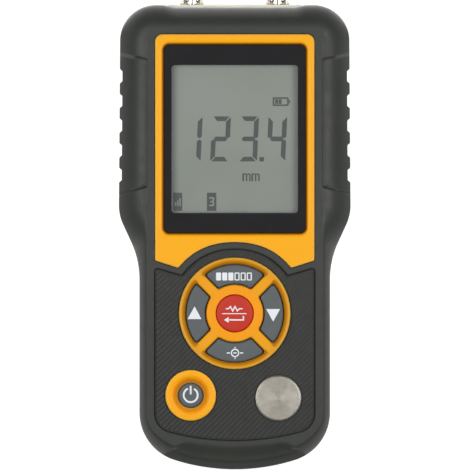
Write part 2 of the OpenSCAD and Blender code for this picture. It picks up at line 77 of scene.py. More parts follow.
def chain(*parts, closed=False):
    out = [np.asarray(parts[0], float)]
    for p in parts[1:]:
        p = np.asarray(p, float)
        if np.linalg.norm(out[-1][-1] - p[0]) < 1e-6:
            p = p[1:]
        out.append(p)
    pts = np.vstack(out)
    if closed and np.linalg.norm(pts[0] - pts[-1]) < 1e-6:
        pts = pts[:-1]
    return pts


def both(h):
    """A closed outline from its right half, bottom middle to top middle."""
    m = h[1:-1][::-1].copy()
    m[:, 0] *= -1
    return np.vstack([h, m])


def fillet(pts, radii, n=6):
    """A closed polygon with rounded corners."""
    pts = np.asarray(pts, float)
    out = []
    k = len(pts)
    for i in range(k):
        p, r = pts[i], radii[i]
        if r <= 0:
            out.append(p[None])
            continue
        u, v = pts[i - 1] - p, pts[(i + 1) % k] - p
        lu, lv = np.linalg.norm(u), np.linalg.norm(v)
        u, v = u / lu, v / lv
        ang = math.acos(np.clip(u @ v, -1, 1))
        d = min(r / math.tan(ang / 2), 0.49 * min(lu, lv))
        r = d * math.tan(ang / 2)
        c = p + (u + v) / np.linalg.norm(u + v) * (r / math.sin(ang / 2))
        a0 = math.atan2(*(p + u * d - c)[::-1])
        a1 = math.atan2(*(p + v * d - c)[::-1])
        while a1 - a0 > math.pi:
            a1 -= 2 * math.pi
        while a1 - a0 < -math.pi:
            a1 += 2 * math.pi
        a = np.linspace(a0, a1, n + 1)
        out.append(np.column_stack([c[0] + r * np.cos(a), c[1] + r * np.sin(a)]))
    return np.vstack(out)


def spaced(loop, step):
    """The same closed loop with no edge longer than step."""
    out = []
    for i in range(len(loop)):
        p, q = loop[i], loop[(i + 1) % len(loop)]
        n = max(1, int(math.ceil(np.linalg.norm(q - p) / step)))
        out += [p + (q - p) * j / n for j in range(n)]
    return np.array(out)


def normals(loop):
    """Outward unit normals of a closed loop that runs counter-clockwise."""
    e = np.roll(loop, -1, 0) - loop
    e /= np.linalg.norm(e, axis=1)[:, None]
    n = np.column_stack([e[:, 1], -e[:, 0]])
    m = n + np.roll(n, 1, 0)
    return m / np.linalg.norm(m, axis=1)[:, None]


def offset(loop, d):
    """The loop moved outwards by d, with mitred corners."""
    e = np.roll(loop, -1, 0) - loop
    e /= np.linalg.norm(e, axis=1)[:, None]
    n = np.column_stack([e[:, 1], -e[:, 0]])
    p = np.roll(n, 1, 0)
    return loop + d * (n + p) / (1 + (n * p).sum(1))[:, None]


def rrect(x0, x1, y0, y1, r, n=6):
    return chain(
        arc(x1 - r, y0 + r, r, -90, 0, n=n), arc(x1 - r, y1 - r, r, 0, 90, n=n),
        arc(x0 + r, y1 - r, r, 90, 180, n=n), arc(x0 + r, y0 + r, r, 180, 270, n=n), closed=True)


def circle(cx, cy, r, n=64):
    a = np.linspace(0, 2 * math.pi, n, endpoint=False)
    return np.column_stack([cx + r * np.cos(a), cy + r * np.sin(a)])


# ---------------------------------------------------------------- mesh builder
class Shape:
    """Collects vertices (millimetres) and faces of one closed piece."""

    def __init__(self):
        self.v, self.f, self.m = [], [], []

    def add(self, pts):
        k = len(self.v)
        self.v += [tuple(float(c) for c in p) for p in pts]
        return np.arange(k, k + len(pts))

    def ring(self, xy, z):
        xy = np.asarray(xy, float)
        return self.add(np.column_stack([xy, np.broadcast_to(np.asarray(z, float), (len(xy),))]))

    def face(self, ids, mat=0):
        self.f.append(tuple(int(i) for i in ids))
        self.m.append(mat)

    def bridge(self, a, b, mat=0):
        n = len(a)
        for i in range(n):
            j = (i + 1) % n
            self.face((a[i], a[j], b[j], b[i]), mat)

    def stack(self, rings, mat=0):
        for a, b in zip(rings, rings[1:]):
            self.bridge(a, b, mat)

    def fan(self, ring, tip, mat=0):
        n = len(ring)
        for i in range(n):
            self.face((ring[i], ring[(i + 1) % n], tip), mat)

    def cap(self, loops, mat=0, axes=(0, 1), extra=None, height=None):
        """Fills the area between closed rings of vertices. extra holds more plane segments to follow, and height gives the third coordinate of a new point."""
        pts, ids, edges = [], [], []
        for lp in loops:
            k = len(pts)
            pts += [Vector((self.v[i][axes[0]], self.v[i][axes[1]])) for i in lp]
            ids += list(lp)
            edges += [(k + j, k + (j + 1) % len(lp)) for j in range(len(lp))]
        rim = len(edges)
        if extra is not None:
            for p, q in extra:
                k = len(pts)
                pts += [Vector(p), Vector(q)]
                ids += [None, None]
                edges.append((k, k + 1))
        vv, ee, ff, ov, oe, _ = delaunay_2d_cdt(pts, edges, [], 0, 1e-6, True)
        new = []
        for i, o in enumerate(ov):
            own = [ids[j] for j in o if ids[j] is not None]
            if own:
                new.append(own[0])
            else:
                p = vv[i]
                if height is None:
                    raise ValueError(f"rings cross at {p[0]:.3f}, {p[1]:.3f}")
                new.append(int(self.add([height(p[0], p[1])])[0]))
        wall = {tuple(sorted(e)) for e, o in zip(ee, oe) if any(k < rim for k in o)}
        sides = {}
        for i, t in enumerate(ff):
            for e in zip(t, list(t[1:]) + [t[0]]):
                sides.setdefault(tuple(sorted(e)), []).append(i)
        state, todo = [None] * len(ff), []
        for e, fs in sides.items():                # from the hull inwards, every ring edge crossed changes sides
            if len(fs) == 1 and state[fs[0]] is None:
                state[fs[0]] = e in wall
                todo.append(fs[0])
        while todo:
            i = todo.pop()
            t = ff[i]
            for e in zip(t, list(t[1:]) + [t[0]]):
                e = tuple(sorted(e))
                for j in sides[e]:
                    if state[j] is None:
                        state[j] = state[i] != (e in wall)
                        todo.append(j)
        for t, keep in zip(ff, state):
            if keep:
                self.face([new[i] for i in t], mat)

    def lathe(self, profile, cx, cy, segs=96, mat=0, mats=None):
        """Turns (radius, height) points about a vertical axis; radius 0 ends on the axis."""
        rings = []
        for r, z in profile:
            rings.append(self.add([(cx, cy, z)]) if r <= 1e-9 else self.ring(circle(cx, cy, r, segs), z))
        for k, (a, b) in enumerate(zip(rings, rings[1:])):
            m = mats[k] if mats else mat
            if len(a) == 1:
                self.fan(b, a[0], m)
            elif len(b) == 1:
                self.fan(a, b[0], m)
            else:
                self.bridge(a, b, m)
        if len(rings[0]) > 1 and len(rings[-1]) > 1:
            self.bridge(rings[-1], rings[0], mat)

    def prism(self, loop, z0, z1, mat=0):
        a, b = self.ring(loop, z0), self.ring(loop, z1)
        self.bridge(a, b, mat)
        self.cap([a], mat)
        self.cap([b], mat)


def piece(name, shape, mats, body="housing", replaces=(), angle=32, turn=None):
    """A new piece of the object from a builder's shape."""
    v = np.array(shape.v, float)
    if turn is not None:
        v = turn(v)
    me = bpy.data.meshes.new(name)
    me.from_pydata((v * MM).tolist(), [], shape.f)
    for m in mats:
        me.materials.append(m)
    me.polygons.foreach_set("material_index", np.array(shape.m, np.int32))
    me.update()
    bm = bmesh.new()
    bm.from_mesh(me)
    bmesh.ops.remove_doubles(bm, verts=bm.verts, dist=1e-8)
    bmesh.ops.delete(bm, geom=[u for u in bm.verts if not u.link_faces], context="VERTS")
    bmesh.ops.recalc_face_normals(bm, faces=bm.faces)
    bm.to_mesh(me)
    bm.free()
    me.polygons.foreach_set("use_smooth", np.ones(len(me.polygons), bool))
    me.set_sharp_from_angle(angle=D(angle))
    ob = bpy.data.objects.new(name, me)
    bpy.context.scene.collection.objects.link(ob)
    flat = ob.modifiers.new("even_shading", "WEIGHTED_NORMAL")
    flat.keep_sharp = True
    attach(ob, body)
    if replaces:
        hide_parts(*replaces)
    return ob


# ---------------------------------------------------------------- materials
def tree(name):
    m = bpy.data.materials.new(name)
    m.use_nodes = True
    t = m.node_tree
    return m, t, t.nodes["Principled BSDF"]


def coords(t, centre=None, scale=None):
    n = t.nodes.new("ShaderNodeTexCoord")
    out = n.outputs["Object"]
    if centre is not None or scale is not None:
        p = t.nodes.new("ShaderNodeMapping")
        if centre is not None:
            p.inputs["Location"].default_value = [-c * MM for c in centre]
        if scale is not None:
            p.inputs["Scale"].default_value = scale
        t.links.new(out, p.inputs["Vector"])
        out = p.outputs["Vector"]
    return out


def noise(t, vec, size, detail=2.0, rough=0.5):
    """Noise whose blobs are about size millimetres across."""
    n = t.nodes.new("ShaderNodeTexNoise")
    n.inputs["Scale"].default_value = 1 / (size * MM)
    n.inputs["Detail"].default_value = detail
    n.inputs["Roughness"].default_value = rough
    t.links.new(vec, n.inputs["Vector"])
    return n.outputs["Fac"]


def spread(t, fac, lo, hi, a=0.3, b=0.7):
    n = t.nodes.new("ShaderNodeMapRange")
    n.inputs["From Min"].default_value = a
    n.inputs["From Max"].default_value = b
    n.inputs["To Min"].default_value = lo
    n.inputs["To Max"].default_value = hi
    t.links.new(fac, n.inputs["Value"])
    return n.outputs["Result"]


def ramp(t, fac, lo, hi, a=0.3, b=0.7):
    n = t.nodes.new("ShaderNodeValToRGB")
    n.color_ramp.elements[0].position = a
    n.color_ramp.elements[1].position = b
    n.color_ramp.elements[0].color = (*lo, 1)
    n.color_ramp.elements[1].color = (*hi, 1)
    t.links.new(fac, n.inputs["Fac"])
    return n.outputs["Color"]


def bump(t, fac, depth, strength=1.0, onto=None):
    """Bump of depth millimetres."""
    n = t.nodes.new("ShaderNodeBump")
    n.inputs["Distance"].default_value = depth * MM
    n.inputs["Strength"].default_value = strength
    t.links.new(fac, n.inputs["Height"])
    if onto is not None:
        t.links.new(onto, n.inputs["Normal"])
    return n.outputs["Normal"]


def srgb(h):
    h = h.lstrip("#")
    c = [int(h[i:i + 2], 16) / 255 for i in (0, 2, 4)]
    return tuple(x / 12.92 if x <= 0.04045 else ((x + 0.055) / 1.055) ** 2.4 for x in c)


def finish(name, base, rough, var=0.07, patch=6.0, grain=0.3, depth=0.012, rvar=0.05, spec=0.5, metal=0.0,
           coat=0.0, coat_rough=0.1, sheen=0.0, sheen_rough=0.5):
    """A moulded or worked surface: a little colour drift, uneven gloss and a fine grain."""
    m, t, p = tree(name)
    vec = coords(t)
    drift = noise(t, vec, patch, 3.0)
    fine = noise(t, vec, grain, 2.0)
    lo, hi = tuple(c * (1 - var) for c in base), tuple(min(1, c * (1 + var)) for c in base)
    t.links.new(ramp(t, drift, lo, hi), p.inputs["Base Color"])
    t.links.new(spread(t, noise(t, vec, patch * 0.35, 3.0), max(0.02, rough - rvar), min(1, rough + rvar)), p.inputs["Roughness"])
    if depth > 0:
        t.links.new(bump(t, fine, depth), p.inputs["Normal"])
    p.inputs["Metallic"].default_value = metal
    p.inputs["Specular IOR Level"].default_value = spec
    p.inputs["Coat Weight"].default_value = coat
    p.inputs["Coat Roughness"].default_value = coat_rough
    p.inputs["Sheen Weight"].default_value = sheen
    p.inputs["Sheen Roughness"].default_value = sheen_rough
    return m


M = {}
M["rubber"] = finish("moulded_rubber", (0.0285, 0.0314, 0.0262), 0.47, var=0.06, patch=9, grain=0.22, depth=0.018, spec=0.35, sheen=0.95, sheen_rough=0.34)


def painted_crease_highlight(m, tone):
    """Painted highlight: a paler rubber colour along the outer part of the crease at the top of each grip pad, where
    the crease's step would catch the light.
    """
    t = m.node_tree
    p = t.nodes["Principled BSDF"]
    plain = p.inputs["Base Color"].links[0].from_socket

    def step(op, *vals):
        n = t.nodes.new("ShaderNodeMath")
        n.operation = op
        for k, v in enumerate(vals):
            if isinstance(v, float):
                n.inputs[k].default_value = v
            else:
                t.links.new(v, n.inputs[k])
        return n.outputs["Value"]

    s = t.nodes.new("ShaderNodeSeparateXYZ")
    t.links.new(coords(t), s.inputs["Vector"])
    ax = step("ABSOLUTE", s.outputs["X"])
    off = step("ABSOLUTE", step("SUBTRACT", s.outputs["Y"], step("MULTIPLY_ADD", ax, 0.236, (59.2 - 30.3 * 0.236) * MM)))
    # where the painted highlight lies: close to the crease line, on the outer part of the side, on the front half only
    mask = step("MULTIPLY", spread(t, off, 1, 0, 0.3 * MM, 0.95 * MM), spread(t, ax, 0, 1, 33.7 * MM, 35.4 * MM))
    mask = step("MULTIPLY", mask, spread(t, s.outputs["Z"], 0, 1, 25.0 * MM, 29.0 * MM))
    n = t.nodes.new("ShaderNodeMix")
    n.data_type = "RGBA"
    t.links.new(mask, n.inputs["Factor"])
    ends = [i for i in n.inputs if i.type == "RGBA"]
    t.links.new(plain, ends[0])
    ends[1].default_value = (*tone, 1)
    t.links.new([o for o in n.outputs if o.type == "RGBA"][0], p.inputs["Base Color"])
    return m


# front rubber with a painted highlight along the upper crease of each grip pad
M["rubber_front"] = painted_crease_highlight(finish("moulded_rubber_front", (0.0285, 0.0314, 0.0262), 0.47, var=0.06, patch=9, grain=0.22, depth=0.018, spec=0.35,
                                     sheen=0.95, sheen_rough=0.34), (0.068, 0.072, 0.064))
M["rubber_lip"] = finish("moulded_rubber_lip", (0.0285, 0.0314, 0.0262), 0.5, var=0.06, patch=9, grain=0.22, depth=0.018, spec=0.33)
M["panel"] = finish("panel_plastic", (0.0208, 0.0228, 0.0203), 0.46, var=0.08, patch=7, grain=0.2, depth=0.012, spec=0.29)
M["orange"] = finish("orange_plastic", (0.96, 0.425, 0.004), 0.36, var=0.03, patch=8, grain=0.35, depth=0.006, spec=0.22)
M["key_grey"] = finish("key_silicone", (0.096, 0.109, 0.114), 0.55, var=0.05, patch=4, grain=0.2, depth=0.012, spec=0.35)
M["key_red"] = finish("key_red", (0.55, 0.028, 0.010), 0.5, var=0.05, patch=4, grain=0.2, depth=0.012, spec=0.26)
M["print"] = finish("white_print", (0.80, 0.82, 0.86), 0.5, var=0.03, patch=1.2, grain=0.15, depth=0.006, spec=0.3)
M["lens_black"] = finish("lens_print", (0.011, 0.011, 0.0125), 0.07, var=0.12, patch=10, grain=1.5, depth=0.0015, rvar=0.02, spec=0.5)
M["plate"] = finish("plate_plastic", (0.96, 0.90, 0.75), 0.42, var=0.04, patch=5, grain=0.3, depth=0.006, spec=0.35)
M["segment"] = finish("lcd_segment", (0.042, 0.051, 0.046), 0.32, var=0.08, patch=1.5, grain=0.4, depth=0.0, spec=0.3)
M["lcd_edge"] = finish("lcd_edge", (0.215, 0.205, 0.222), 0.35, var=0.06, patch=3, grain=0.4, depth=0.0, spec=0.3)
M["nickel"] = finish("nickel_plate", (0.78, 0.75, 0.69), 0.16, var=0.04, patch=2, grain=0.25, depth=0.004, metal=1.0)
M["steel"] = finish("zinc_steel", (0.56, 0.55, 0.53), 0.3, var=0.08, patch=1.2, grain=0.15, depth=0.006, metal=1.0)
M["brass"] = finish("gold_contact", (0.80, 0.58, 0.25), 0.22, var=0.05, patch=1.0, grain=0.1, depth=0.003, metal=1.0)
M["chip"] = finish("chip_epoxy", (0.018, 0.018, 0.020), 0.5, var=0.15, patch=1.0, grain=0.1, depth=0.01)
M["white"] = finish("white_plastic", (0.74, 0.74, 0.71), 0.42, var=0.03, patch=3, grain=0.2, depth=0.006)
M["black_rubber"] = finish("seal_rubber", (0.016, 0.016, 0.017), 0.6, var=0.15, patch=2, grain=0.2, depth=0.015)
M["elastomer"] = finish("elastomer", (0.45, 0.12, 0.05), 0.6, var=0.12, patch=0.6, grain=0.15, depth=0.01)
M["foam"] = finish("foam_pad", (0.085, 0.087, 0.095), 0.9, var=0.2, patch=0.8, grain=0.35, depth=0.12, sheen=0.2)
M["wire_red"] = finish("wire_red", (0.42, 0.02, 0.02), 0.4, var=0.06, patch=2, grain=0.2, depth=0.004)
M["wire_black"] = finish("wire_black", (0.014, 0.014, 0.015), 0.4, var=0.1, patch=2, grain=0.2, depth=0.004)
M["holder"] = finish("holder_plastic", (0.02, 0.02, 0.021), 0.45, var=0.1, patch=3, grain=0.2, depth=0.01)


def lcd_material():
    """Grey-green reflective display: faint large drift and a very fine reflector grain."""
    m, t, p = tree("lcd_glass")
    vec = coords(t)
    big = noise(t, vec, 28, 2.0)
    t.links.new(ramp(t, big, (0.232, 0.262, 0.222), (0.262, 0.282, 0.250), 0.35, 0.65), p.inputs["Base Color"])
    t.links.new(spread(t, noise(t, vec, 0.2, 2.0), 0.30, 0.40), p.inputs["Roughness"])
    p.inputs["Specular IOR Level"].default_value = 0.25
    return m


def clear_material():
    """Thin clear window with a hard gloss."""
    m, t, p = tree("lens_clear")
    vec = coords(t)
    p.inputs["Base Color"].default_value = (0.5, 0.52, 0.52, 1)
    t.links.new(spread(t, noise(t, vec, 9, 2.0), 0.03, 0.07), p.inputs["Roughness"])
    p.inputs["Alpha"].default_value = 0.05
    return m


def turned_material(centre):
    """A lathe-turned face: fine rings about the axis, uneven bands and a slight smear of gloss."""
    m, t, p = tree("turned_steel")
    vec = coords(t, centre)
    w = t.nodes.new("ShaderNodeTexWave")
    w.wave_type = "RINGS"
    w.rings_direction = "Z"
    w.inputs["Scale"].default_value = 0.33 / (0.30 * MM) / 20 * 20 / 6.283
    w.inputs["Distortion"].default_value = 0.6
    w.inputs["Detail"].default_value = 2.0
    w.inputs["Detail Scale"].default_value = 2.0
    t.links.new(vec, w.inputs["Vector"])
    drift = noise(t, vec, 3.2, 4.0, 0.6)
    t.links.new(ramp(t, drift, (0.268, 0.253, 0.219), (0.345, 0.327, 0.287)), p.inputs["Base Color"])
    t.links.new(spread(t, noise(t, vec, 1.6, 4.0), 0.36, 0.42), p.inputs["Roughness"])
    t.links.new(bump(t, w.outputs["Fac"], 0.004, 0.6), p.inputs["Normal"])
    p.inputs["Metallic"].default_value = 1.0
    p.inputs["Anisotropic"].default_value = 0.22
    p.inputs["Anisotropic Rotation"].default_value = 0.25
    g = t.nodes.new("ShaderNodeTangent")
    g.direction_type = "RADIAL"
    g.axis = "Z"
    t.links.new(g.outputs["Tangent"], p.inputs["Tangent"])
    return m


def board_material():
    m, t, p = tree("solder_mask")
    vec = coords(t)
    v = t.nodes.new("ShaderNodeTexBrick")
    v.inputs["Scale"].default_value = 1 / (6 * MM)
    v.inputs["Mortar Size"].default_value = 0.035
    v.inputs["Color1"].default_value = (0.010, 0.115, 0.042, 1)
    v.inputs["Color2"].default_value = (0.012, 0.130, 0.048, 1)
    v.inputs["Mortar"].default_value = (0.022, 0.20, 0.075, 1)
    t.links.new(vec, v.inputs["Vector"])
    t.links.new(v.outputs["Color"], p.inputs["Base Color"])
    t.links.new(spread(t, noise(t, vec, 3, 2.0), 0.25, 0.4), p.inputs["Roughness"])
    t.links.new(bump(t, v.outputs["Fac"], 0.02), p.inputs["Normal"])
    return m


def cell_material():
    """Shrink-wrapped cell: a plain sleeve with two bands along its length."""
    m, t, p = tree("cell_sleeve")
    vec = coords(t)
    s = t.nodes.new("ShaderNodeSeparateXYZ")
    t.links.new(vec, s.inputs["Vector"])
    f = spread(t, s.outputs["Y"], 0, 1, -0.066, -0.022)
    r = t.nodes.new("ShaderNodeValToRGB")
    r.color_ramp.interpolation = "CONSTANT"
    e = r.color_ramp.elements
    e[0].position, e[0].color = 0.0, (0.30, 0.30, 0.29, 1)
    e[1].position, e[1].color = 0.05, (0.03, 0.05, 0.09, 1)
    e.new(0.70).color = (0.40, 0.40, 0.38, 1)
    e.new(0.74).color = (0.03, 0.05, 0.09, 1)
    e.new(0.96).color = (0.30, 0.30, 0.29, 1)
    t.links.new(f, r.inputs["Fac"])
    t.links.new(r.outputs["Color"], p.inputs["Base Color"])
    t.links.new(spread(t, noise(t, vec, 2, 3.0), 0.22, 0.36), p.inputs["Roughness"])
    t.links.new(bump(t, noise(t, vec, 1.5), 0.02), p.inputs["Normal"])
    return m


def painted_light_orange(name, stops, centre=None):
    """The orange plastic with painted light and shade in its colour, given at stops in millimetres: distance from an
    upright axis, or height where there is no axis.
    """
    m, t, p = tree(name)
    own = coords(t)
    if centre is None:
        s = t.nodes.new("ShaderNodeSeparateXYZ")
        t.links.new(own, s.inputs["Vector"])
        value = s.outputs["Z"]
    else:
        n = t.nodes.new("ShaderNodeVectorMath")
        n.operation = "LENGTH"
        t.links.new(coords(t, centre, (1, 1, 0)), n.inputs[0])
        value = n.outputs["Value"]
    lo, hi = stops[0][0], stops[-1][0]
    r = t.nodes.new("ShaderNodeValToRGB")
    e = r.color_ramp.elements
    e[0].color, e[1].color = (*stops[0][1], 1), (*stops[-1][1], 1)
    for d, c in stops[1:-1]:
        e.new((d - lo) / (hi - lo)).color = (*c, 1)
    t.links.new(spread(t, value, 0, 1, lo * MM, hi * MM), r.inputs["Fac"])
    t.links.new(r.outputs["Color"], p.inputs["Base Color"])
    t.links.new(spread(t, noise(t, own, 2.8, 3.0), 0.31, 0.41), p.inputs["Roughness"])
    t.links.new(bump(t, noise(t, own, 0.35, 2.0), 0.006), p.inputs["Normal"])
    p.inputs["Specular IOR Level"].default_value = 0.2
    return m


# painted shade: the bezel's orange darkens to brown with depth, down its inner slope and wall towards the lens
M["orange_bezel_painted_shade"] = painted_light_orange("orange_bezel_painted_shade", [
    (35.4, (0.11, 0.022, 0.001)), (35.6, (0.19, 0.055, 0.001)), (35.8, (0.38, 0.13, 0.002)), (36.0, (0.55, 0.21, 0.003)),
    (36.19, (0.80, 0.34, 0.004)), (36.34, (0.93, 0.405, 0.004)), (36.46, (0.96, 0.425, 0.004)), (36.5, (0.96, 0.425, 0.004))])
# painted highlight: a paler, less saturated orange on the bezel's outer rounded edge
M["orange_edge_painted_highlight"] = painted_light_orange("orange_edge_painted_highlight", [
    (36.1, (0.76, 0.44, 0.090)), (36.36, (0.80, 0.432, 0.068)), (36.47, (0.86, 0.428, 0.038)), (36.5, (0.95, 0.425, 0.006))])
# power ring: painted highlights as paler bands at the inner lip round the key and at the outer edge, painted shade as a
# deeper, redder orange down the dish's slope
M["orange_dish_painted_light"] = painted_light_orange("orange_dish_painted_light", [
    (4.4, (0.80, 0.36, 0.040)), (4.85, (0.90, 0.395, 0.060)), (5.15, (0.90, 0.328, 0.009)), (5.6, (0.94, 0.315, 0.003)), (7.4, (0.96, 0.425, 0.004)),
    (8.3, (0.96, 0.432, 0.006)), (8.55, (0.96, 0.50, 0.060)), (8.8, (0.96, 0.52, 0.080))], (POWER[0], POWER[1], 0))
# key ring: painted shade as a darker orange towards the rim, a painted highlight as paler orange at the rim's crest,
# and a redder orange towards the middle
M["orange_ring_painted_light"] = painted_light_orange("orange_ring_painted_light", [
    (7.0, (0.95, 0.335, 0.003)), (12.0, (0.86, 0.368, 0.004)), (16.2, (0.83, 0.355, 0.004)), (17.6, (0.79, 0.335, 0.005)),
    (18.3, (0.75, 0.325, 0.008)), (18.65, (0.715, 0.338, 0.022)), (19.0, (0.69, 0.368, 0.036)), (19.4, (0.68, 0.37, 0.036))], (0, RING_Y, 0))
# key ring coves: painted shade as a dark orange down the cove next to each key, with the painted highlight at the rim's
# crest
M["orange_cove_painted_shade"] = painted_light_orange("orange_cove_painted_shade", [
    (7.0, (0.95, 0.335, 0.003)), (12.0, (0.86, 0.368, 0.004)), (16.2, (0.80, 0.33, 0.004)), (17.3, (0.52, 0.195, 0.004)), (17.65, (0.53, 0.205, 0.004)), (17.95, (0.585, 0.225, 0.004)),
    (18.3, (0.665, 0.275, 0.007)), (18.65, (0.715, 0.338, 0.022)), (19.0, (0.69, 0.368, 0.036)), (19.4, (0.68, 0.37, 0.036))], (0, RING_Y, 0))
M["lcd"] = lcd_material()
M["clear"] = clear_material()
M["turned"] = turned_material((BLOCK[0], BLOCK[1], 0))
M["board"] = board_material()
M["cell"] = cell_material()

CAD_FINISH = {
    "rear_shell": "panel", "front_shell": "panel", "case_seal": "black_rubber", "case_screws": "steel",
    "lens_gasket": "black_rubber", "lcd_panel": "lcd", "lcd_backlight": "white", "lcd_holder": "holder",
    "elastomer_strip": "elastomer", "memory_plunger": "black_rubber", "cal_plunger": "black_rubber",
    "up_plunger": "black_rubber", "down_plunger": "black_rubber", "enter_plunger": "black_rubber",
    "power_plunger": "black_rubber", "tact_switches": "chip", "block_retainer": "nickel", "retainer_screws": "steel",
    "main_board": "board", "board_screws": "steel", "processor": "chip", "pulser_chip": "chip",
    "pulse_transformer": "chip", "crystal": "nickel", "capacitors": "chip", "buzzer": "holder",
    "socket_insulators": "white", "socket_contacts": "brass", "lock_washers": "steel", "socket_nuts": "nickel",
    "inner_leads": "wire_black", "cover_screw": "steel", "cover_pad": "foam", "battery_cells": "cell",
    "cell_springs": "nickel", "cell_contacts": "nickel", "battery_leads": "wire_red",
    "battery_cover": "panel", "front_overmould": "rubber", "rear_overmould": "rubber", "display_bezel": "orange",
    "display_lens": "lens_black", "key_ring": "orange_ring_painted_light", "memory_key": "key_grey", "cal_key": "key_grey",
    "up_key": "key_grey", "down_key": "key_grey", "enter_key": "key_red", "power_ring": "orange_dish_painted_light",
    "power_key": "key_grey", "zero_block": "turned", "top_plate": "plate", "probe_sockets": "nickel",
}
for name, ob in NODES.items():
    ob.data.materials.clear()
    ob.data.materials.append(M[CAD_FINISH[name]])

# ---------------------------------------------------------------- housing outline
NECK_Y, NECK_A, NECK_R1, NECK_R2, TOP_R, COR_R, BOT_R = 9.1, 24.7, 15.7, 30.5, 12.4, 17.25, 69.0
BOT_CY = BOT_Y + BOT_R
COR_CX = WAIST_HW - COR_R
COR_CY = BOT_CY - math.sqrt((BOT_R - COR_R) ** 2 - COR_CX ** 2)
COR_A = math.degrees(math.atan2(COR_CY - BOT_CY, COR_CX))
NECK_DX = HEAD_HW - WAIST_HW - (NECK_R1 + NECK_R2) * (1 - math.cos(D(NECK_A)))
NECK_LO = NECK_Y - (NECK_R1 + NECK_R2) * math.sin(D(NECK_A)) - NECK_DX / math.tan(D(NECK_A))
low = arc(WAIST_HW + NECK_R2, NECK_LO, NECK_R2, 180, 180 - NECK_A, 0.6)
high = arc(HEAD_HW - NECK_R1, NECK_Y, NECK_R1, -NECK_A, 0, 0.4)


def side_at(y):
    """A point of the head's straight side."""
    return (mix(HEAD_HW, SHLD_HW, (y - NECK_Y) / (TOP_Y - TOP_R - NECK_Y)), y)


OUT = both(chain(
    arc(0, BOT_CY, BOT_R, -90, COR_A, 0.5),
    arc(COR_CX, COR_CY, COR_R, COR_A, 0, 0.4),
    line((WAIST_HW, COR_CY), (WAIST_HW, NECK_LO), 0.8),
    low, line(low[-1], high[0], 0.5), high,
    line((HEAD_HW, NECK_Y), side_at(18.5), 0.13), line(side_at(18.5), side_at(56.5), 0.2),
    line(side_at(56.5), side_at(63.5), 0.13), line(side_at(63.5), side_at(TOP_Y - TOP_R), 0.3),
    arc(SHLD_HW - TOP_R, TOP_Y - TOP_R, TOP_R, 0, 90, 0.35),
    line((SHLD_HW - TOP_R, TOP_Y), (23.4, TOP_Y), 0.4),
    line((23.4, TOP_Y), (19.8, TOP_Y), 0.4), line((19.8, TOP_Y), (0, TOP_Y), 1.0)))
ON = normals(OUT)
N = len(OUT)
OX, OY = OUT[:, 0], OUT[:, 1]
IN_WINDOW = (np.abs(OX) <= 23.41) & (OY > TOP_Y - 0.01)

NOTCH_Y = [19.64 + 8.54 * i for i in range(5)]


def notch(y):
    d = np.min(np.abs(np.asarray(y)[..., None] - np.array(NOTCH_Y)), -1)
    return 1 - smooth(1.55, 2.65, d)


def dip(x):
    return 1 - smooth(20.2, 25.4, np.abs(x))


def front_reach():
    """How far the rounding of the front edge reaches in: up to a straight line beside the bezel."""
    nx, ny = np.abs(ON[:, 0]), ON[:, 1]
    side = (np.abs(OX) - 30.45) / np.maximum(nx, 0.7)
    top = mix(SHLD_HW - 30.45, 8.1, smooth(0, 1, ny))
    w = np.where(OY > TOP_Y - TOP_R, top, side)
    return np.where(OY < COR_CY, mix(WAIST_HW - 30.45, 4.4, smooth(-64, -79, OY)), w)


def front_drop(q, w):
    """How far the front edge has dropped at the part q of its reach: a slope on the head's sides, a round edge at the top, a steep edge at neck and waist."""
    slope = smooth(-5, 9, OY) * (1 - smooth(0.15, 0.75, ON[:, 1]))
    n = mix(1.2, 1.8, smooth(58, 74, OY))
    h = mix(np.clip(1.3 * w, 3.2, 6.2), 8.0, smooth(60, 72, OY))
    h = np.where(OY < COR_CY, mix(3.2, 5.0, smooth(-64, -79, OY)), h)
    edge = h * (1 - np.maximum(1 - (1 - q) ** n, 0) ** (1 / n))
    return slope * 5.5 * (1 - q) ** 2 + (1 - slope) * edge


def groove(d, width, deep):
    """A slit with one steep wall at d = 0 that runs out slowly on the other side."""
    return deep * smooth(0, 0.3, d) * (1 - 0.82 * smooth(0.45 * width, width, d)) * (1 - smooth(2, 10, d))


def crease(x, y):
    """The two slits at the ends of each grip pad, deepest at their inner ends."""
    ax = np.abs(x)
    gate = smooth(30.0, 30.5, ax)
    out = np.clip((ax - 30.5) / 8.8, 0, 1)
    up = groove(y - (58.9 + (ax - 30.3) * 0.288), mix(1.0, 0.6, out), mix(0.95, 0.1, smooth(0.2, 0.6, out)))
    lo = groove((16.5 - (ax - 30.6) * 0.349) - y, mix(1.35, 0.7, out), mix(1.35, 0.45, out))
    return gate * (up + lo)


CHIN_S = np.array([0, 0.6, 1.5, 2.3, 2.75, 3.2, 3.8, 4.6, 5.5, 6.5, 7.5, 8.2, 8.5, 20])
CHIN_Z = np.array([32.3, 32.85, 33.6, 34.25, 34.5, 34.62, 34.72, 34.86, 35.08, 35.42, 35.78, 35.97, 36, 36])


def chin(x, s, z, room):
    """The scooped flat and the ridge at the bottom end. room is the inset by which each column must be level again."""
    q = np.where(s > 3.2, 3.2 + (s - 3.2) * np.maximum(1.0, 5.3 / np.maximum(room - 3.2, 0.5)), s)
    half = 17.2 + 0.98 * (8.2 - s)
    m = smooth(0, 1, (half - np.abs(x)) / mix(1.3, 4.0, smooth(2.5, 7, s)))
    return np.where((OY < -60), mix(z, np.interp(q, CHIN_S, CHIN_Z), m), z)


def side_step(y):
    """The band beside the bezel lies a little lower than the grip pad."""
    return 0.22 * smooth(6, 16, y) * (1 - smooth(58, 67, y))


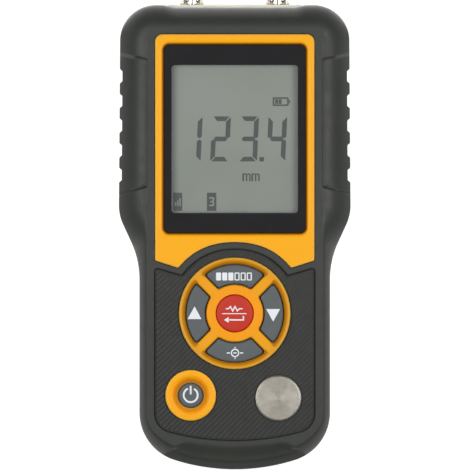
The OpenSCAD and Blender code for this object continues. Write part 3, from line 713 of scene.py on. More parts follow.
def clear_of(w, want):
    """How far each column may run on past the rounding and stay clear of the openings."""
    rim = np.vstack([spaced(offset(PANEL_HOLE, 0.6), 0.3), spaced(offset(BEZEL_HOLE, 0.32), 0.3)])
    ext = want.copy()
    for k in np.linspace(0.05, 1, 24):
        p = OUT - ON * (w + want * k)[:, None]
        d = np.min(np.hypot(p[:, 0][:, None] - rim[:, 0], p[:, 1][:, None] - rim[:, 1]), 1)
        ext = np.where(d < 0.45, np.minimum(ext, want * (k - 0.1)), ext)
    ext = np.maximum(ext, 0.12)
    for _ in range(12):
        ext = np.minimum(ext, (np.roll(ext, 1) + ext + np.roll(ext, -1)) / 3)
    return ext


def front_skin():
    sh = Shape()
    w = front_reach()
    zr = FRONT_Z - front_drop(0.0, w)
    z0 = PART_Z + GAP
    rows = []                                     # (inset, height) of every outside row
    rows.append((np.full(N, 0.5), np.full(N, z0)))
    rows.append((np.full(N, 0.14), np.full(N, z0 + 0.1)))
    rows.append((np.full(N, 0.0), np.full(N, z0 + 0.5)))
    walls = [0.25, 0.5, 0.75, 0.92, 1.0]
    for f in walls:
        rows.append((np.full(N, 0.0), z0 + f * (zr - z0)))
    top_row = 3 + walls.index(0.92)
    for q in (np.arange(1, 21) / 20) ** 1.45:
        rows.append((w * q, FRONT_Z - front_drop(q, w)))
    ext = clear_of(w, mix(0.5, 4.3, smooth(-66, -76, OY)) * (1 - 0.4 * smooth(60, 76, OY)))
    for k in range(1, 7):
        rows.append((w + ext * k / 6, np.full(N, FRONT_Z)))
    outer = []
    for j, (s, z) in enumerate(rows):
        side = (OY > 12) & (OY < 62) & (np.abs(OX) > 38)
        s = np.where(side, np.maximum(s, 0.9 * notch(OY)), s)
        xy = OUT - ON * s[:, None]
        z = z.copy()
        z = np.where(z > zr - 1e-6, chin(xy[:, 0], s, z, w + ext * 5 / 6), z) if j >= top_row + 2 else z
        if j >= top_row + 1:
            z = z - crease(xy[:, 0], xy[:, 1])
        if j >= len(rows) - 6:
            t = (j - (len(rows) - 7)) / 6
            z = z - side_step(xy[:, 1]) * smooth(0, 0.8, t) * (np.abs(ON[:, 0]) > 0.9)
        xy[:, 1] -= np.where(ON[:, 1] > 0.9, 0.8 * dip(xy[:, 0]) * (1 - smooth(0.5, 6.5, s)), 0)
        outer.append(sh.ring(xy, z))
    inner = []
    for j in range(3 + len(walls)):
        s, z = rows[j]
        inner.append(sh.ring(OUT - ON * SKIN, z if j else np.full(N, z0)))
    for a in np.radians([22, 45, 67, 90]):
        ww, hh = np.clip(w - SKIN, 0.3, 6.0), np.maximum(FRONT_Z - zr - SKIN, 0.3)
        inner.append(sh.ring(OUT - ON * (SKIN + ww * (1 - math.cos(a)))[:, None], FRONT_Z - SKIN - hh * (1 - math.sin(a))))
    edge = IN_WINDOW & np.roll(IN_WINDOW, -1)      # edges that lie inside the plate's window
    for rws in (outer, inner):
        for j, (a, b) in enumerate(zip(rws, rws[1:])):
            for i in range(N):
                if edge[i] and j < top_row:
                    continue
                k = (i + 1) % N
                sh.face((a[i], a[k], b[k], b[i]))
    for i in range(N):                             # lower edge, and the window's three edges
        k = (i + 1) % N
        if edge[i]:
            sh.face((outer[top_row][i], outer[top_row][k], inner[top_row][k], inner[top_row][i]))
        else:
            sh.face((outer[0][i], outer[0][k], inner[0][k], inner[0][i]))
        if edge[i] != edge[i - 1]:
            for j in range(top_row):
                sh.face((outer[j][i], outer[j + 1][i], inner[j + 1][i], inner[j][i]))
    tops, bottoms = [outer[-1]], [inner[-1]]
    for loop, prof in ((BEZEL_HOLE, [(0.45, 0), (0.32, 0), (0.1, 0.07), (0, 0.3)]), (PANEL_HOLE, [(0.75, 0), (0.6, 0), (0.36, 0.05), (0.16, 0.17), (0, 0.55)])):
        rings = []
        for d, dz in prof:
            xy = offset(loop, d)
            rings.append(sh.ring(xy, FRONT_Z - dz - side_step(xy[:, 1]) * (np.abs(xy[:, 0]) > 27)))
        rings.append(sh.ring(loop, FRONT_Z - SKIN))
        sh.stack(rings, 1)
        tops.append(rings[0])
        bottoms.append(rings[-1])
    sh.cap(tops)
    sh.cap(bottoms)
    return sh


def rear_skin():
    sh = Shape()
    w, h, z0 = 4.0, 6.0, PART_Z - GAP
    walls = [0.25, 0.5, (z0 - 8.8) / (z0 - h), 0.9, 1.0]
    rows = [(0.5, z0), (0.14, z0 - 0.1), (0.0, z0 - 0.5)] + [(0.0, z0 - f * (z0 - h)) for f in walls]
    top_row = 3 + 2
    for a in np.radians(np.linspace(0, 90, 13)[1:]):
        rows.append((w * (1 - math.cos(a)), h * (1 - math.sin(a))))
    rows += [(6.4, 0.0), (6.75, 0.06), (6.94, 0.22), (7.0, 0.5), (7.0, SKIN)]
    outer = []
    for j, (s, z) in enumerate(rows):
        side = (OY > 12) & (OY < 62) & (np.abs(OX) > 38)
        s = np.where(side, np.maximum(s, 0.9 * notch(OY)), s)
        xy = OUT - ON * s[:, None]
        xy[:, 1] -= np.where(ON[:, 1] > 0.9, 0.8 * dip(xy[:, 0]) * (1 - smooth(0.5, 6.5, s)), 0)
        outer.append(sh.ring(xy, z))
    inner = [sh.ring(OUT - ON * SKIN, rows[j][1]) for j in range(3 + len(walls))]
    for a in np.radians([22, 45, 67, 90]):
        inner.append(sh.ring(OUT - ON * (SKIN + (w - SKIN) * (1 - math.cos(a))), SKIN + (h - SKIN) * (1 - math.sin(a))))
    edge = IN_WINDOW & np.roll(IN_WINDOW, -1)
    for rws in (outer, inner):
        for j, (a, b) in enumerate(zip(rws, rws[1:])):
            for i in range(N):
                if edge[i] and j < top_row:
                    continue
                k = (i + 1) % N
                sh.face((a[i], a[k], b[k], b[i]))
    sh.bridge(outer[-1], inner[-1])
    for i in range(N):
        k = (i + 1) % N
        if edge[i]:
            sh.face((outer[top_row][i], outer[top_row][k], inner[top_row][k], inner[top_row][i]))
        else:
            sh.face((outer[0][i], outer[0][k], inner[0][k], inner[0][i]))
        if edge[i] != edge[i - 1]:
            for j in range(top_row):
                sh.face((outer[j][i], outer[j + 1][i], inner[j + 1][i], inner[j][i]))
    return sh


# openings of the front skin
def flatter(pts, by):
    """An arch about the key ring that is lower in the middle by the given amount."""
    d = pts - np.array([0, RING_Y])
    r = np.hypot(d[:, 0], d[:, 1])
    a = np.degrees(np.arctan2(d[:, 1], np.abs(d[:, 0])))
    return np.array([0, RING_Y]) + d * (1 - by * smooth(56, 90, a) / r)[:, None]


def bezel_loop():
    tip_a = math.degrees(math.acos(19.44 / 24.9))
    half = chain(arc(0, RING_Y, 24.9, 90, tip_a + 4, 0.5), arc(0, RING_Y, 24.9, tip_a + 4, tip_a, n=2)[::2])
    half = flatter(half, 0.45)
    pts = [tuple(p) for p in half] + [(27.6, -9.95), (27.6, 68.3)]
    rad = [0] * (len(half) - 1) + [0.8, 0.8, 2.7]
    full = pts + [(-x, y) for x, y in pts[::-1][:-1]]
    frad = rad + rad[::-1][:-1]
    return spaced(fillet(full, frad, 8), 0.7)


def panel_loop():
    r, pr = 88.0, 6.5
    cy = -71.9 + r
    px = 27.6 - pr
    py = cy - math.sqrt((r - pr) ** 2 - px ** 2)
    a = math.degrees(math.atan2(py - cy, px))
    tip_a = math.degrees(math.acos(18.2 / 22.3))
    top = chain(arc(0, RING_Y, 22.3, tip_a, tip_a + 4, n=2)[::2], arc(0, RING_Y, 22.3, tip_a + 4, 90, 0.5))
    top = flatter(top, 0.3)
    half = chain(arc(0, cy, r, -90, a, 0.6), arc(px, py, pr, a, 0, 0.5), [(27.6, py), (27.6, -12.5)])
    pts = [tuple(p) for p in half] + [tuple(p) for p in top]
    rad = [0] * (len(half) - 1) + [0.95] + [0.95] + [0] * (len(top) - 1)
    full = pts + [(-x, y) for x, y in pts[::-1][1:-1]]
    frad = rad + rad[::-1][1:-1]
    return spaced(fillet(full, frad, 8), 0.7)


BEZEL_HOLE = bezel_loop()
PANEL_HOLE = panel_loop()
LENS_HOLE = spaced(rrect(-24.85, 24.85, -0.75, 65.0, 2.3, 8), 1.2)

piece("front_overmould_moulded", front_skin(), [M["rubber_front"], M["rubber_lip"]], replaces=["front_overmould"], angle=40)
piece("rear_overmould_moulded", rear_skin(), [M["rubber"]], replaces=["rear_overmould"], angle=40)


# ---------------------------------------------------------------- fine diagonal ribs on the keypad panel of the front shell
def ribbed_top():
    sh = Shape()
    pitch, crest, base = 1.35, 0.085, 35.07
    outer = spaced(offset(PANEL_HOLE, -0.6), 0.35)
    holes = [circle(0, RING_Y, RING_R + 0.32, 340), circle(*POWER, 8.75 + 0.32, 160), circle(*BLOCK, 8.0 + 0.36, 150)]
    loops = [outer] + holes
    c = math.sqrt(0.5)

    def z_at(x, y):
        u = ((y - x) * c / pitch) % 1.0
        return base + crest * (0.5 - 0.5 * math.cos(2 * math.pi * u))

    segs = []
    lo, hi = -75.0, 30.0
    steps = [k / 6 for k in range(6)]
    k0, k1 = int(math.floor(lo / pitch)), int(math.ceil(hi / pitch))
    for k in range(k0, k1):
        for f in steps:
            u = (k + f) * pitch                   # line of points with (y - x) / sqrt(2) = u
            ts = []
            for lp in loops:
                a, b = lp, np.roll(lp, -1, 0)
                ua, ub = (a[:, 1] - a[:, 0]) * c - u, (b[:, 1] - b[:, 0]) * c - u
                hit = (ua > 0) != (ub > 0)
                q = a[hit] + (b[hit] - a[hit]) * (ua[hit] / (ua[hit] - ub[hit]))[:, None]
                ts += list((q[:, 0] + q[:, 1]) * c)
            ts.sort()
            for t0, t1 in zip(ts[::2], ts[1::2]):
                t0, t1 = t0 + 0.07, t1 - 0.07
                if t1 - t0 > 0.1:
                    segs.append((((t0 - u) * c, (t0 + u) * c), ((t1 - u) * c, (t1 + u) * c)))
    return sh, loops, segs, z_at


def panel_ribs():
    sh, loops, segs, z_at = ribbed_top()
    tops, lows = [], []
    for lp in loops:
        tops.append(sh.add([(x, y, z_at(x, y)) for x, y in lp]))
        lows.append(sh.ring(lp, 34.8))
        sh.bridge(tops[-1], lows[-1])
    sh.cap(lows)
    sh.cap(tops, extra=segs, height=lambda x, y: (x, y, z_at(x, y)))
    return sh


piece("keypad_panel_ribs", panel_ribs(), [M["panel"]], angle=40)


# ---------------------------------------------------------------- display
PINS = [(15, 66.6), (-15, 66.6), (22, -6), (-22, -6)]


def bezel():
    sh = Shape()
    loop = offset(BEZEL_HOLE, -0.1)
    out = [sh.ring(loop, 33.8)]
    for a in np.radians(np.linspace(0, 90, 9)):
        out.append(sh.ring(offset(loop, -0.62 * (1 - math.cos(a))), 36.5 - 0.34 * (1 - math.sin(a))))
    hole = [sh.ring(offset(LENS_HOLE, d), z) for d, z in [(1.35, 36.5), (1.1, 36.47), (0.6, 36.33), (0.32, 36.19), (0.12, 36.0), (0, 35.8), (-0.12, 35.64), (-0.3, 35.5), (-0.42, 35.42), (-0.44, 35.3), (-0.44, 33.8)]]
    # the outer rounded edge takes the painted highlight
    sh.stack(out, 1)
    sh.stack(hole)
    sh.cap([out[-1], hole[0]])
    under = [out[0], hole[-1]]
    for x, y in PINS:
        a, b, c = sh.ring(circle(x, y, 1.0, 24), 33.8), sh.ring(circle(x, y, 1.0, 24), 31.4), sh.ring(circle(x, y, 0.8, 24), 31.2)
        sh.stack([a, b, c])
        sh.cap([c])
        under.append(a)
    sh.cap(under)
    return sh


def lens():
    sh = Shape()
    loop = offset(LENS_HOLE, -0.56)
    win = spaced(rrect(-21.8, 21.8, 6.5, 57.6, 1.15, 8), 1.5)
    out = [sh.ring(offset(loop, -d), z) for d, z in [(0.1, 33.95), (0, 34.05), (0, 35.35), (0.05, 35.4)]]
    sh.stack(out)
    wt, wb = sh.ring(win, 35.4), sh.ring(win, 33.95)
    sh.cap([out[-1], wt])
    sh.cap([out[0], wb])
    sh.cap([wt], 1)
    sh.cap([wb], 1)
    return sh


piece("display_bezel_moulded", bezel(), [M["orange_bezel_painted_shade"], M["orange_edge_painted_highlight"]], replaces=["display_bezel"], angle=50)
piece("display_lens_window", lens(), [M["lens_black"], M["clear"]], replaces=["display_lens"], angle=30)


def lcd_marks():
    """Seven-segment figures, unit, cell symbol and two inverse blocks."""
    sh = Shape()
    z0, z1 = 31.71, 31.76
    tilt = math.tan(D(2.7))
    W, H, T = 6.47, 15.55, 1.60
    cx_right = [-11.43, -1.67, 8.03, 17.77]
    y0 = 24.35
    g = 0.22

    def segs():
        h2 = H / 2
        return {
            "a": [(0.50, H), (W - 0.50, H), (W - 0.50 - T + 0.35, H - T), (0.50 + T - 0.35, H - T)],
            "d": [(0.50 + T - 0.35, T), (W - 0.50 - T + 0.35, T), (W - 0.50, 0), (0.50, 0)],
            "g": [(0.85, h2), (1.5, h2 + T / 2), (W - 1.5, h2 + T / 2), (W - 0.85, h2), (W - 1.5, h2 - T / 2), (1.5, h2 - T / 2)],
            "b": [(W, H - 0.42), (W, h2 + 0.75), (W - T * 0.45, h2 + 0.22), (W - T, h2 + 0.8), (W - T, H - T - 0.1), (W - T + 0.25, H - T + 0.02), (W - 0.22, H - 0.40)],
            "c": [(W, h2 - 0.75), (W, 0.42), (W - 0.22, 0.40), (W - T + 0.25, T - 0.02), (W - T, T + 0.1), (W - T, h2 - 0.8), (W - T * 0.45, h2 - 0.22)],
        }

    s = segs()
    s["f"] = [(W - x, y) for x, y in s["b"]]
    s["e"] = [(W - x, y) for x, y in s["c"]]
    for right, on in zip(cx_right, ["bc", "abged", "abgcd", "fgbc"]):
        for k in on:
            loop = np.array([(right - W + x + (y - H / 2) * tilt, y0 + y) for x, y in s[k]])
            area = 0.5 * np.sum(loop[:, 0] * np.roll(loop[:, 1], -1) - np.roll(loop[:, 0], -1) * loop[:, 1])
            sh.prism(loop if area > 0 else loop[::-1], z0, z1)
    # decimal point
    sh.prism(np.array([(8.50, 24.35), (10.05, 24.35), (10.1, 25.85), (8.55, 25.85)]), z0, z1)
    # cell symbol: outline, pole and two bars
    out = fillet([(13.1, 43.5), (18.3, 43.5), (18.65, 44.0), (18.65, 46.0), (18.3, 46.5), (13.1, 46.5)], [0.2] * 6, 3)
    inn = fillet([(13.62, 44.02), (18.0, 44.02), (18.12, 44.24), (18.12, 45.76), (18.0, 45.98), (13.62, 45.98)], [0.1] * 6, 3)
    a0, a1 = sh.ring(out, z0), sh.ring(out, z1)
    b0, b1 = sh.ring(inn, z0), sh.ring(inn, z1)
    sh.bridge(a0, a1)
    sh.bridge(b0, b1)
    sh.cap([a0, b0])
    sh.cap([a1, b1])
    sh.prism(np.array([(18.75, 44.5), (19.15, 44.5), (19.15, 45.5), (18.75, 45.5)]), z0, z1)
    for x in (13.95, 15.15):
        sh.prism(np.array([(x, 44.2), (x + 1.0, 44.2), (x + 1.0, 45.8), (x, 45.8)]), z0, z1)
    # unit of length, drawn with bars and arcs
    for x in (2.62, 5.75):
        st = 0.58
        yb, yt, sp = 17.5, 20.2, 1.14
        sh.prism(np.array([(x, yb), (x + st, yb), (x + st, yt), (x, yt)]), z0, z1)
        for k in (0, 1):
            xl, xr = x + st + 0.02 + k * sp, x + st + k * sp + 0.78 + 0.36
            r = 0.56
            o = chain([(xr, yb), (xr, yt - r)], arc(xr - r, yt - r, r, 0, 90, n=5), [(xl, yt), (xl, yt - 0.46)],
                      [(xr - r, yt - 0.46)], arc(xr - r - 0.02, yt - r - 0.0, r - 0.48, 90, 0, n=4), [(xr - 0.5, yb)], closed=True)
            sh.prism(o, z0, z1)
    # two blocks with light figures cut out of them
    def block(x0, x1, cut):
        o = np.array([(x0, 7.25), (x1, 7.25), (x1, 13.55), (x0, 13.55)])
        r0, r1 = [sh.ring(o, z0)], [sh.ring(o, z1)]
        sh.bridge(r0[0], r1[0])
        for c in cut:
            c = np.array(c, float)
            p, q = sh.ring(c, z0), sh.ring(c, z1)
            sh.bridge(p, q)
            r0.append(p)
            r1.append(q)
        sh.cap(r0)
        sh.cap(r1)
    bars = [[(-20.6 + k * 0.75, 9.0), (-20.15 + k * 0.75, 9.0), (-20.15 + k * 0.75, 10.2 + k * 0.75), (-20.6 + k * 0.75, 10.2 + k * 0.75)] for k in range(3)]
    block(-21.25, -18.15, bars)
    x, y = -8.85, 8.9
    three = [(x + u, y + v) for u, v in [
        (0, 0.1), (0.15, 0), (1.3, 0), (1.62, 0.14), (1.75, 0.45), (1.75, 1.2), (1.66, 1.42), (1.48, 1.55), (1.66, 1.68), (1.75, 1.9), (1.75, 2.65), (1.62, 2.96), (1.3, 3.1), (0.15, 3.1), (0, 3.0),
        (0, 2.62), (1.05, 2.62), (1.2, 2.55), (1.25, 2.4), (1.25, 2.0), (1.2, 1.86), (1.05, 1.79), (0.4, 1.79), (0.4, 1.31), (1.05, 1.31), (1.2, 1.24), (1.25, 1.1), (1.25, 0.7), (1.2, 0.55), (1.05, 0.48), (0, 0.48)]]
    block(-9.6, -6.35, [three])
    return sh


def lcd_rim():
    """The paler sealed edge of the display cell, seen at the left and at the bottom."""
    sh = Shape()
    out = rrect(-22.3, 22.3, 5.4, 58.8, 0.6, 4)
    inn = rrect(-21.0, 21.6, 6.95, 58.2, 0.8, 4)
    a0, a1, b0, b1 = sh.ring(out, 31.71), sh.ring(out, 31.8), sh.ring(inn, 31.71), sh.ring(inn, 31.74)
    sh.bridge(a0, a1)
    sh.bridge(b0, b1)
    sh.cap([a0, b0])
    sh.bridge(a1, b1)
    return sh


piece("lcd_figures", lcd_marks(), [M["segment"]], angle=30)
piece("lcd_sealed_edge", lcd_rim(), [M["lcd_edge"]], angle=30)


# ---------------------------------------------------------------- keypad
def sector(r0, r1, off, c0, c1, rot=0.0, n=(6, 1, 6, 36, 24)):
    """Outline of one of the four outer keys, pointing along +Y before it is turned by rot degrees. The count of points never changes."""
    o = off * math.sqrt(2)
    h = math.sqrt(0.5)

    def centre(rc, c):
        oo = o + c * math.sqrt(2)
        x = (-oo + math.sqrt(2 * rc * rc - oo * oo)) / 2
        return np.array([x, x + oo])

    p, q = centre(r0 + c0, c0), centre(r1 - c1, c1)
    ap = math.degrees(math.atan2(-p[1], -p[0]))                  # from the inner fillet's centre to the inner arc
    aq = math.degrees(math.atan2(q[1], q[0]))
    inner_fil = arc(p[0], p[1], c0, ap, -45, n=n[0]) if ap < -45 else arc(p[0], p[1], c0, ap - 360, -45, n=n[0])
    side = line(p + c0 * np.array([h, -h]), q + c1 * np.array([h, -h]), n=n[1])
    outer_fil = arc(q[0], q[1], c1, -45, aq, n=n[2])
    aq_c = math.degrees(math.atan2(q[1], q[0]))
    top = arc(0, 0, r1, aq_c, 180 - aq_c, n=n[3])
    half = chain(inner_fil, side, outer_fil)
    left = half[::-1].copy()
    left[:, 0] *= -1
    ap_c = math.degrees(math.atan2(p[1], p[0]))
    bottom = arc(0, 0, r0, 180 - ap_c, ap_c, n=n[4])
    loop = chain(half, top, left, bottom, closed=True)
    a = D(rot)
    m = np.array([[math.cos(a), math.sin(a)], [-math.sin(a), math.cos(a)]])
    return loop @ m + np.array([0, RING_Y])


def key_ring():
    sh = Shape()
    rim = [(18, 33.7), (18, 30.6), (20.9, 30.6), (20.9, 31.7), (19.3, 31.7), (19.3, 35.7), (19.28, 35.98), (19.21, 36.22), (19.1, 36.39), (18.96, 36.48), (18.86, 36.49)]
    rings = [sh.ring(circle(0, RING_Y, r, 192), z) for r, z in rim]
    sh.stack(rings)

    def top(xy):
        r = np.hypot(xy[:, 0], xy[:, 1] - RING_Y)
        return 36.2 + 0.28 * smooth(13, 18.7, r)

    tops, lows = [rings[-1]], [rings[0]]
    for rot in (0, 90, 180, 270):
        cove = [(18.78, 0.62, 0.0), (18.58, 0.46, 0.05), (18.32, 0.31, 0.14), (18.04, 0.18, 0.28), (17.75, 0.09, 0.48), (17.47, 0.03, 0.74), (17.22, 0.0, 1.05), (17.05, 0.0, 1.38), (17.0, 0.0, 1.7)]
        z_ref = None
        ap = []
        for r1, cut, drop in cove:
            lp = sector(9.9 - cut, r1, 1.85 - cut, 0.9 + 0.4 * cut, 1.0 + 0.6 * cut, rot)
            z_ref = top(lp) if z_ref is None else z_ref
            ap.append(sh.ring(lp, z_ref - drop))
        ap.append(sh.ring(sector(9.9, 17.0, 1.85, 0.9, 1.0, rot), 33.7))
        # the cove round each key takes the painted-shade orange
        sh.stack(ap, 1)
        tops.append(ap[0])
        lows.append(ap[-1])
    mid = [sh.ring(circle(0, RING_Y, r, 96), z) for r, z in [(6.72, 36.2), (6.62, 36.15), (6.57, 36.03), (6.57, 33.7)]]
    sh.stack(mid)
    sh.cap(tops + [mid[0]])
    sh.cap(lows + [mid[-1]])
    return sh


def outer_key(rot):
    """Key top with a soft edge and a slight crown, its flange and its stem."""
    sh = Shape()
    px, py = {0: (0, 13.5), 90: (-13.5, 0), 180: (0, -13.5), 270: (13.5, 0)}[rot]
    stem = [sh.ring(circle(px, RING_Y + py, r, 32), z) for r, z in [(1.3, 28.6), (1.5, 28.8), (1.5, 32.7)]]
    sh.cap([stem[0]])
    sh.stack(stem)
    fl = [sh.ring(sector(9.4, 17.75, 1.3, 0.9, 1.0, rot), z) for z in (32.7, 33.5)]
    sh.cap([fl[0], stem[-1]])
    sh.stack(fl)
    g = 0.28
    body = []
    for d, z in [(0, 33.5), (0, 35.45), (0.04, 35.62), (0.14, 35.76), (0.30, 35.83), (0.55, 35.86)]:
        body.append(sh.ring(sector(10 + g + d, 17.0 - g - d, 1.95 + g + d, max(0.9 - d, 0.25), max(1.0 - d, 0.35), rot), z))
    sh.stack([fl[-1]] + body)
    mid = [body[-1]]
    for d, z in [(1.2, 35.885), (2.0, 35.90)]:
        mid.append(sh.ring(sector(10 + g + d, 17.0 - g - d, 1.95 + g + d, 0.25, 0.35, rot), z))
    sh.stack(mid)
    sh.cap([mid[-1]])
    return sh


for key, rot in (("memory", 0), ("up", 90), ("cal", 180), ("down", 270)):
    piece(f"{key}_key_cap", outer_key(rot), [M["key_grey"]], body=f"{key}_button", replaces=[f"{key}_key"], angle=50)

piece("key_ring_moulded", key_ring(), [M["orange_ring_painted_light"], M["orange_cove_painted_shade"]], replaces=["key_ring"], angle=42)


def enter_key():
    sh = Shape()
    sh.lathe([(0, 28.6), (1.3, 28.6), (1.5, 28.8), (1.5, 32.7), (7.32, 32.7), (7.32, 33.5), (6.42, 33.5), (6.42, 35.4), (6.39, 35.6), (6.3, 35.76),
              (6.14, 35.87), (5.9, 35.93), (4.5, 35.97), (2.5, 35.99), (0, 36.0)], 0, RING_Y, 128)
    return sh


def power_key():
    sh = Shape()
    sh.lathe([(0, 28.6), (1.3, 28.6), (1.5, 28.8), (1.5, 32.7), (5.6, 32.7), (5.6, 33.5), (4.2, 33.5), (4.2, 35.0), (4.16, 35.25), (4.05, 35.44),
              (3.87, 35.57), (3.62, 35.64), (2.8, 35.68), (1.4, 35.695), (0, 35.7)], *POWER, 96)
    return sh


def power_ring():
    sh = Shape()
    pr = [(4.38, 33.7), (7.6, 33.7), (7.6, 30.6), (10.0, 30.6), (10.0, 31.7), (8.75, 31.7), (8.75, 35.9), (8.72, 36.1), (8.63, 36.27), (8.48, 36.4), (8.25, 36.47),
          (7.95, 36.5), (7.3, 36.5), (6.9, 36.47), (6.5, 36.38), (6.15, 36.22), (5.8, 35.97), (5.5, 35.66), (5.2, 35.27), (4.9, 34.85), (4.65, 34.5), (4.45, 34.3), (4.38, 34.2)]
    sh.lathe(pr, *POWER, 128)
    return sh


def zero_block():
    sh = Shape()
    pr = [(0, 30.4), (9.4, 30.4), (9.4, 31.7), (8.0, 31.7), (8.0, 35.2), (7.98, 35.29), (7.9, 35.35), (7.66, 35.47), (7.56, 35.49), (7.5, 35.52), (7.44, 35.58), (7.36, 35.6)]
    r = 7.36
    k = 0
    while r > 0.5:                                   # the tool's fine feed marks
        r -= 0.24
        k += 1
        pr.append((r, 35.6 - (0.006 if k % 2 else 0.0)))
    pr.append((0, 35.6))
    sh.lathe(pr, *BLOCK, 128)
    return sh


piece("enter_key_cap", enter_key(), [M["key_red"]], body="enter_button", replaces=["enter_key"], angle=50)
piece("power_key_cap", power_key(), [M["key_grey"]], body="power_button", replaces=["power_key"], angle=50)
piece("power_ring_moulded", power_ring(), [M["orange_dish_painted_light"]], replaces=["power_ring"], angle=50)
piece("zero_block_turned", zero_block(), [M["turned"]], replaces=["zero_block"], angle=30)


# ---------------------------------------------------------------- white pictograms on the keys
def stroke(sh, path, width, z0, z1, closed=False):
    """A line of even width drawn along a path."""
    p = np.asarray(path, float)
    if closed:
        a, b = offset(p, width / 2), offset(p, -width / 2)
        r = [sh.ring(a, z0), sh.ring(a, z1), sh.ring(b, z1), sh.ring(b, z0)]
        sh.bridge(r[0], r[1])
        sh.bridge(r[2], r[3])
        sh.bridge(r[1], r[2])
        sh.bridge(r[3], r[0])
        return
    e = np.diff(p, axis=0)
    e /= np.linalg.norm(e, axis=1)[:, None]
    n = np.column_stack([-e[:, 1], e[:, 0]])
    m = np.vstack([n[:1], (n[1:] + n[:-1]) / (1 + (n[1:] * n[:-1]).sum(1))[:, None], n[-1:]])
    l, r = p + m * width / 2, p - m * width / 2
    sh.prism(np.vstack([r, l[::-1]]), z0, z1)


def poly(sh, pts, z0, z1):
    p = np.asarray(pts, float)
    area = 0.5 * np.sum(p[:, 0] * np.roll(p[:, 1], -1) - np.roll(p[:, 0], -1) * p[:, 1])
    sh.prism(p if area > 0 else p[::-1], z0, z1)


KZ = (35.80, 35.925)
s = Shape()
poly(s, [(-16.27, -30.08), (-11.46, -30.08), (-13.86, -25.67)], *KZ)
piece("up_key_mark", s, [M["print"]], body="up_button")
s = Shape()
poly(s, [(10.85, -26.6), (15.65, -26.6), (13.25, -30.95)], *KZ)
piece("down_key_mark", s, [M["print"]], body="down_button")

s = Shape()                                          # a row of storage cells, three of them filled
for k in range(6):
    x0 = -6.45 + k * 2.12
    lp = rrect(x0, x0 + 1.75, -16.75, -14.0, 0.3, 3)
    if k < 3:
        s.prism(lp, *KZ)
    else:
        stroke(s, offset(lp, -0.2), 0.4, *KZ, closed=True)
piece("memory_key_mark", s, [M["print"]], body="memory_button")

s = Shape()                                          # a target with cross lines
stroke(s, circle(0.1, -41.75, 1.25, 40), 0.42, *KZ, closed=True)
for a, b in (((-2.75, -41.75), (-1.65, -41.75)), ((1.85, -41.75), (2.95, -41.75)), ((0.1, -40.1), (0.1, -39.7)), ((0.1, -43.4), (0.1, -43.8)), ((-0.45, -41.75), (0.65, -41.75))):
    stroke(s, [a, b], 0.42, *KZ)
piece("cal_key_mark", s, [M["print"]], body="cal_button")

EZ = (35.90, 36.015)
s = Shape()                                          # a travelling wave over a line, and a return arrow below it
stroke(s, [(-3.1, -26.5), (-2.2, -26.5), (-1.5, -25.75), (-0.7, -27.25), (0.1, -25.75), (0.9, -27.25), (1.65, -26.5), (2.75, -26.5)], 0.42, *EZ)
stroke(s, [(-4.4, -28.2), (4.1, -28.2)], 0.3, *EZ)
stroke(s, [(3.0, -29.0), (3.0, -30.35), (-2.2, -30.35)], 0.48, *EZ)
poly(s, [(-3.7, -30.35), (-2.1, -29.35), (-2.1, -31.35)], *EZ)
piece("enter_key_mark", s, [M["print"]], body="enter_button")

PZ = (35.60, 35.725)
s = Shape()
stroke(s, arc(POWER[0], POWER[1] + 0.1, 2.42, 113, 422, n=60), 0.63, *PZ)
stroke(s, [(POWER[0], POWER[1] + 0.35), (POWER[0], POWER[1] + 3.35)], 0.62, *PZ)
piece("power_key_mark", s, [M["print"]], body="power_button")


# ---------------------------------------------------------------- probe end
def top_plate():
    """Built flat and then stood up: its local height runs along +Y."""
    sh = Shape()
    rows = []
    for gx, gz, r, y in [(25.3, 10.3, 1.0, 72.2), (25.3, 10.3, 1.0, 74.0), (23.2, 9.0, 1.2, 74.0), (23.2, 9.0, 1.2, 78.0), (23.12, 8.92, 1.12, 78.25), (22.9, 8.7, 0.95, 78.44), (22.6, 8.4, 0.8, 78.5)]:
        rows.append(sh.ring(rrect(-gx, gx, PART_Z - gz, PART_Z + gz, r, 6), y))
    sh.stack(rows)
    low, top = [rows[0]], [rows[-1]]
    for sx in (-SOCK_X, SOCK_X):
        h = [sh.ring(circle(sx, PART_Z, r, 64), y) for r, y in [(3.5, 72.2), (3.5, 78.2), (3.8, 78.5)]]
        sh.stack(h)
        low.append(h[0])
        top.append(h[-1])
    sh.cap(low)
    sh.cap(top)
    return sh


def sockets():
    """Socket bodies, each with a slotted ring nut round its mouth."""
    sh = Shape()
    cols = []                                        # angle from the front, height of the nut there
    for k in range(8):
        a = 22.5 + 45 * k
        cols += [(a + d, 79.95) for d in (-9.6, -4.8, 0, 4.8, 9.6)]
        cols += [(a + 10 + d, 81.5) for d in np.linspace(0, 25, 9)]
    ang, nut = np.radians([c[0] for c in cols]), np.array([c[1] for c in cols])
    pr = [(2.5, 76.0), (2.5, 81.7), (2.6, 81.88), (2.75, 82.0), (3.05, 82.0), (3.17, 81.94), (3.2, 81.8)]
    pr += [(3.24, nut), (3.3, nut + 0.06), (3.9, nut + 0.06), (4.04, nut), (4.1, nut - 0.14)]
    pr += [(4.1, 78.75), (4.0, 78.6), (3.9, 78.55), (3.4, 78.55), (3.4, 67.0), (2.9, 67.0), (2.9, 64.5), (2.2, 64.5), (2.2, 76.0)]
    for sx in (-SOCK_X, SOCK_X):
        rings = [sh.add(np.column_stack([sx + r * np.sin(ang), PART_Z + r * np.cos(ang), y + 0 * ang])) for r, y in pr]
        sh.stack(rings + [rings[0]])
    return sh


def stand(v):
    return np.column_stack([v[:, 0], v[:, 2], v[:, 1]])


piece("top_plate_moulded", top_plate(), [M["plate"]], replaces=["top_plate"], angle=45, turn=stand)
piece("probe_sockets_turned", sockets(), [M["nickel"]], replaces=["probe_sockets"], angle=35, turn=stand)


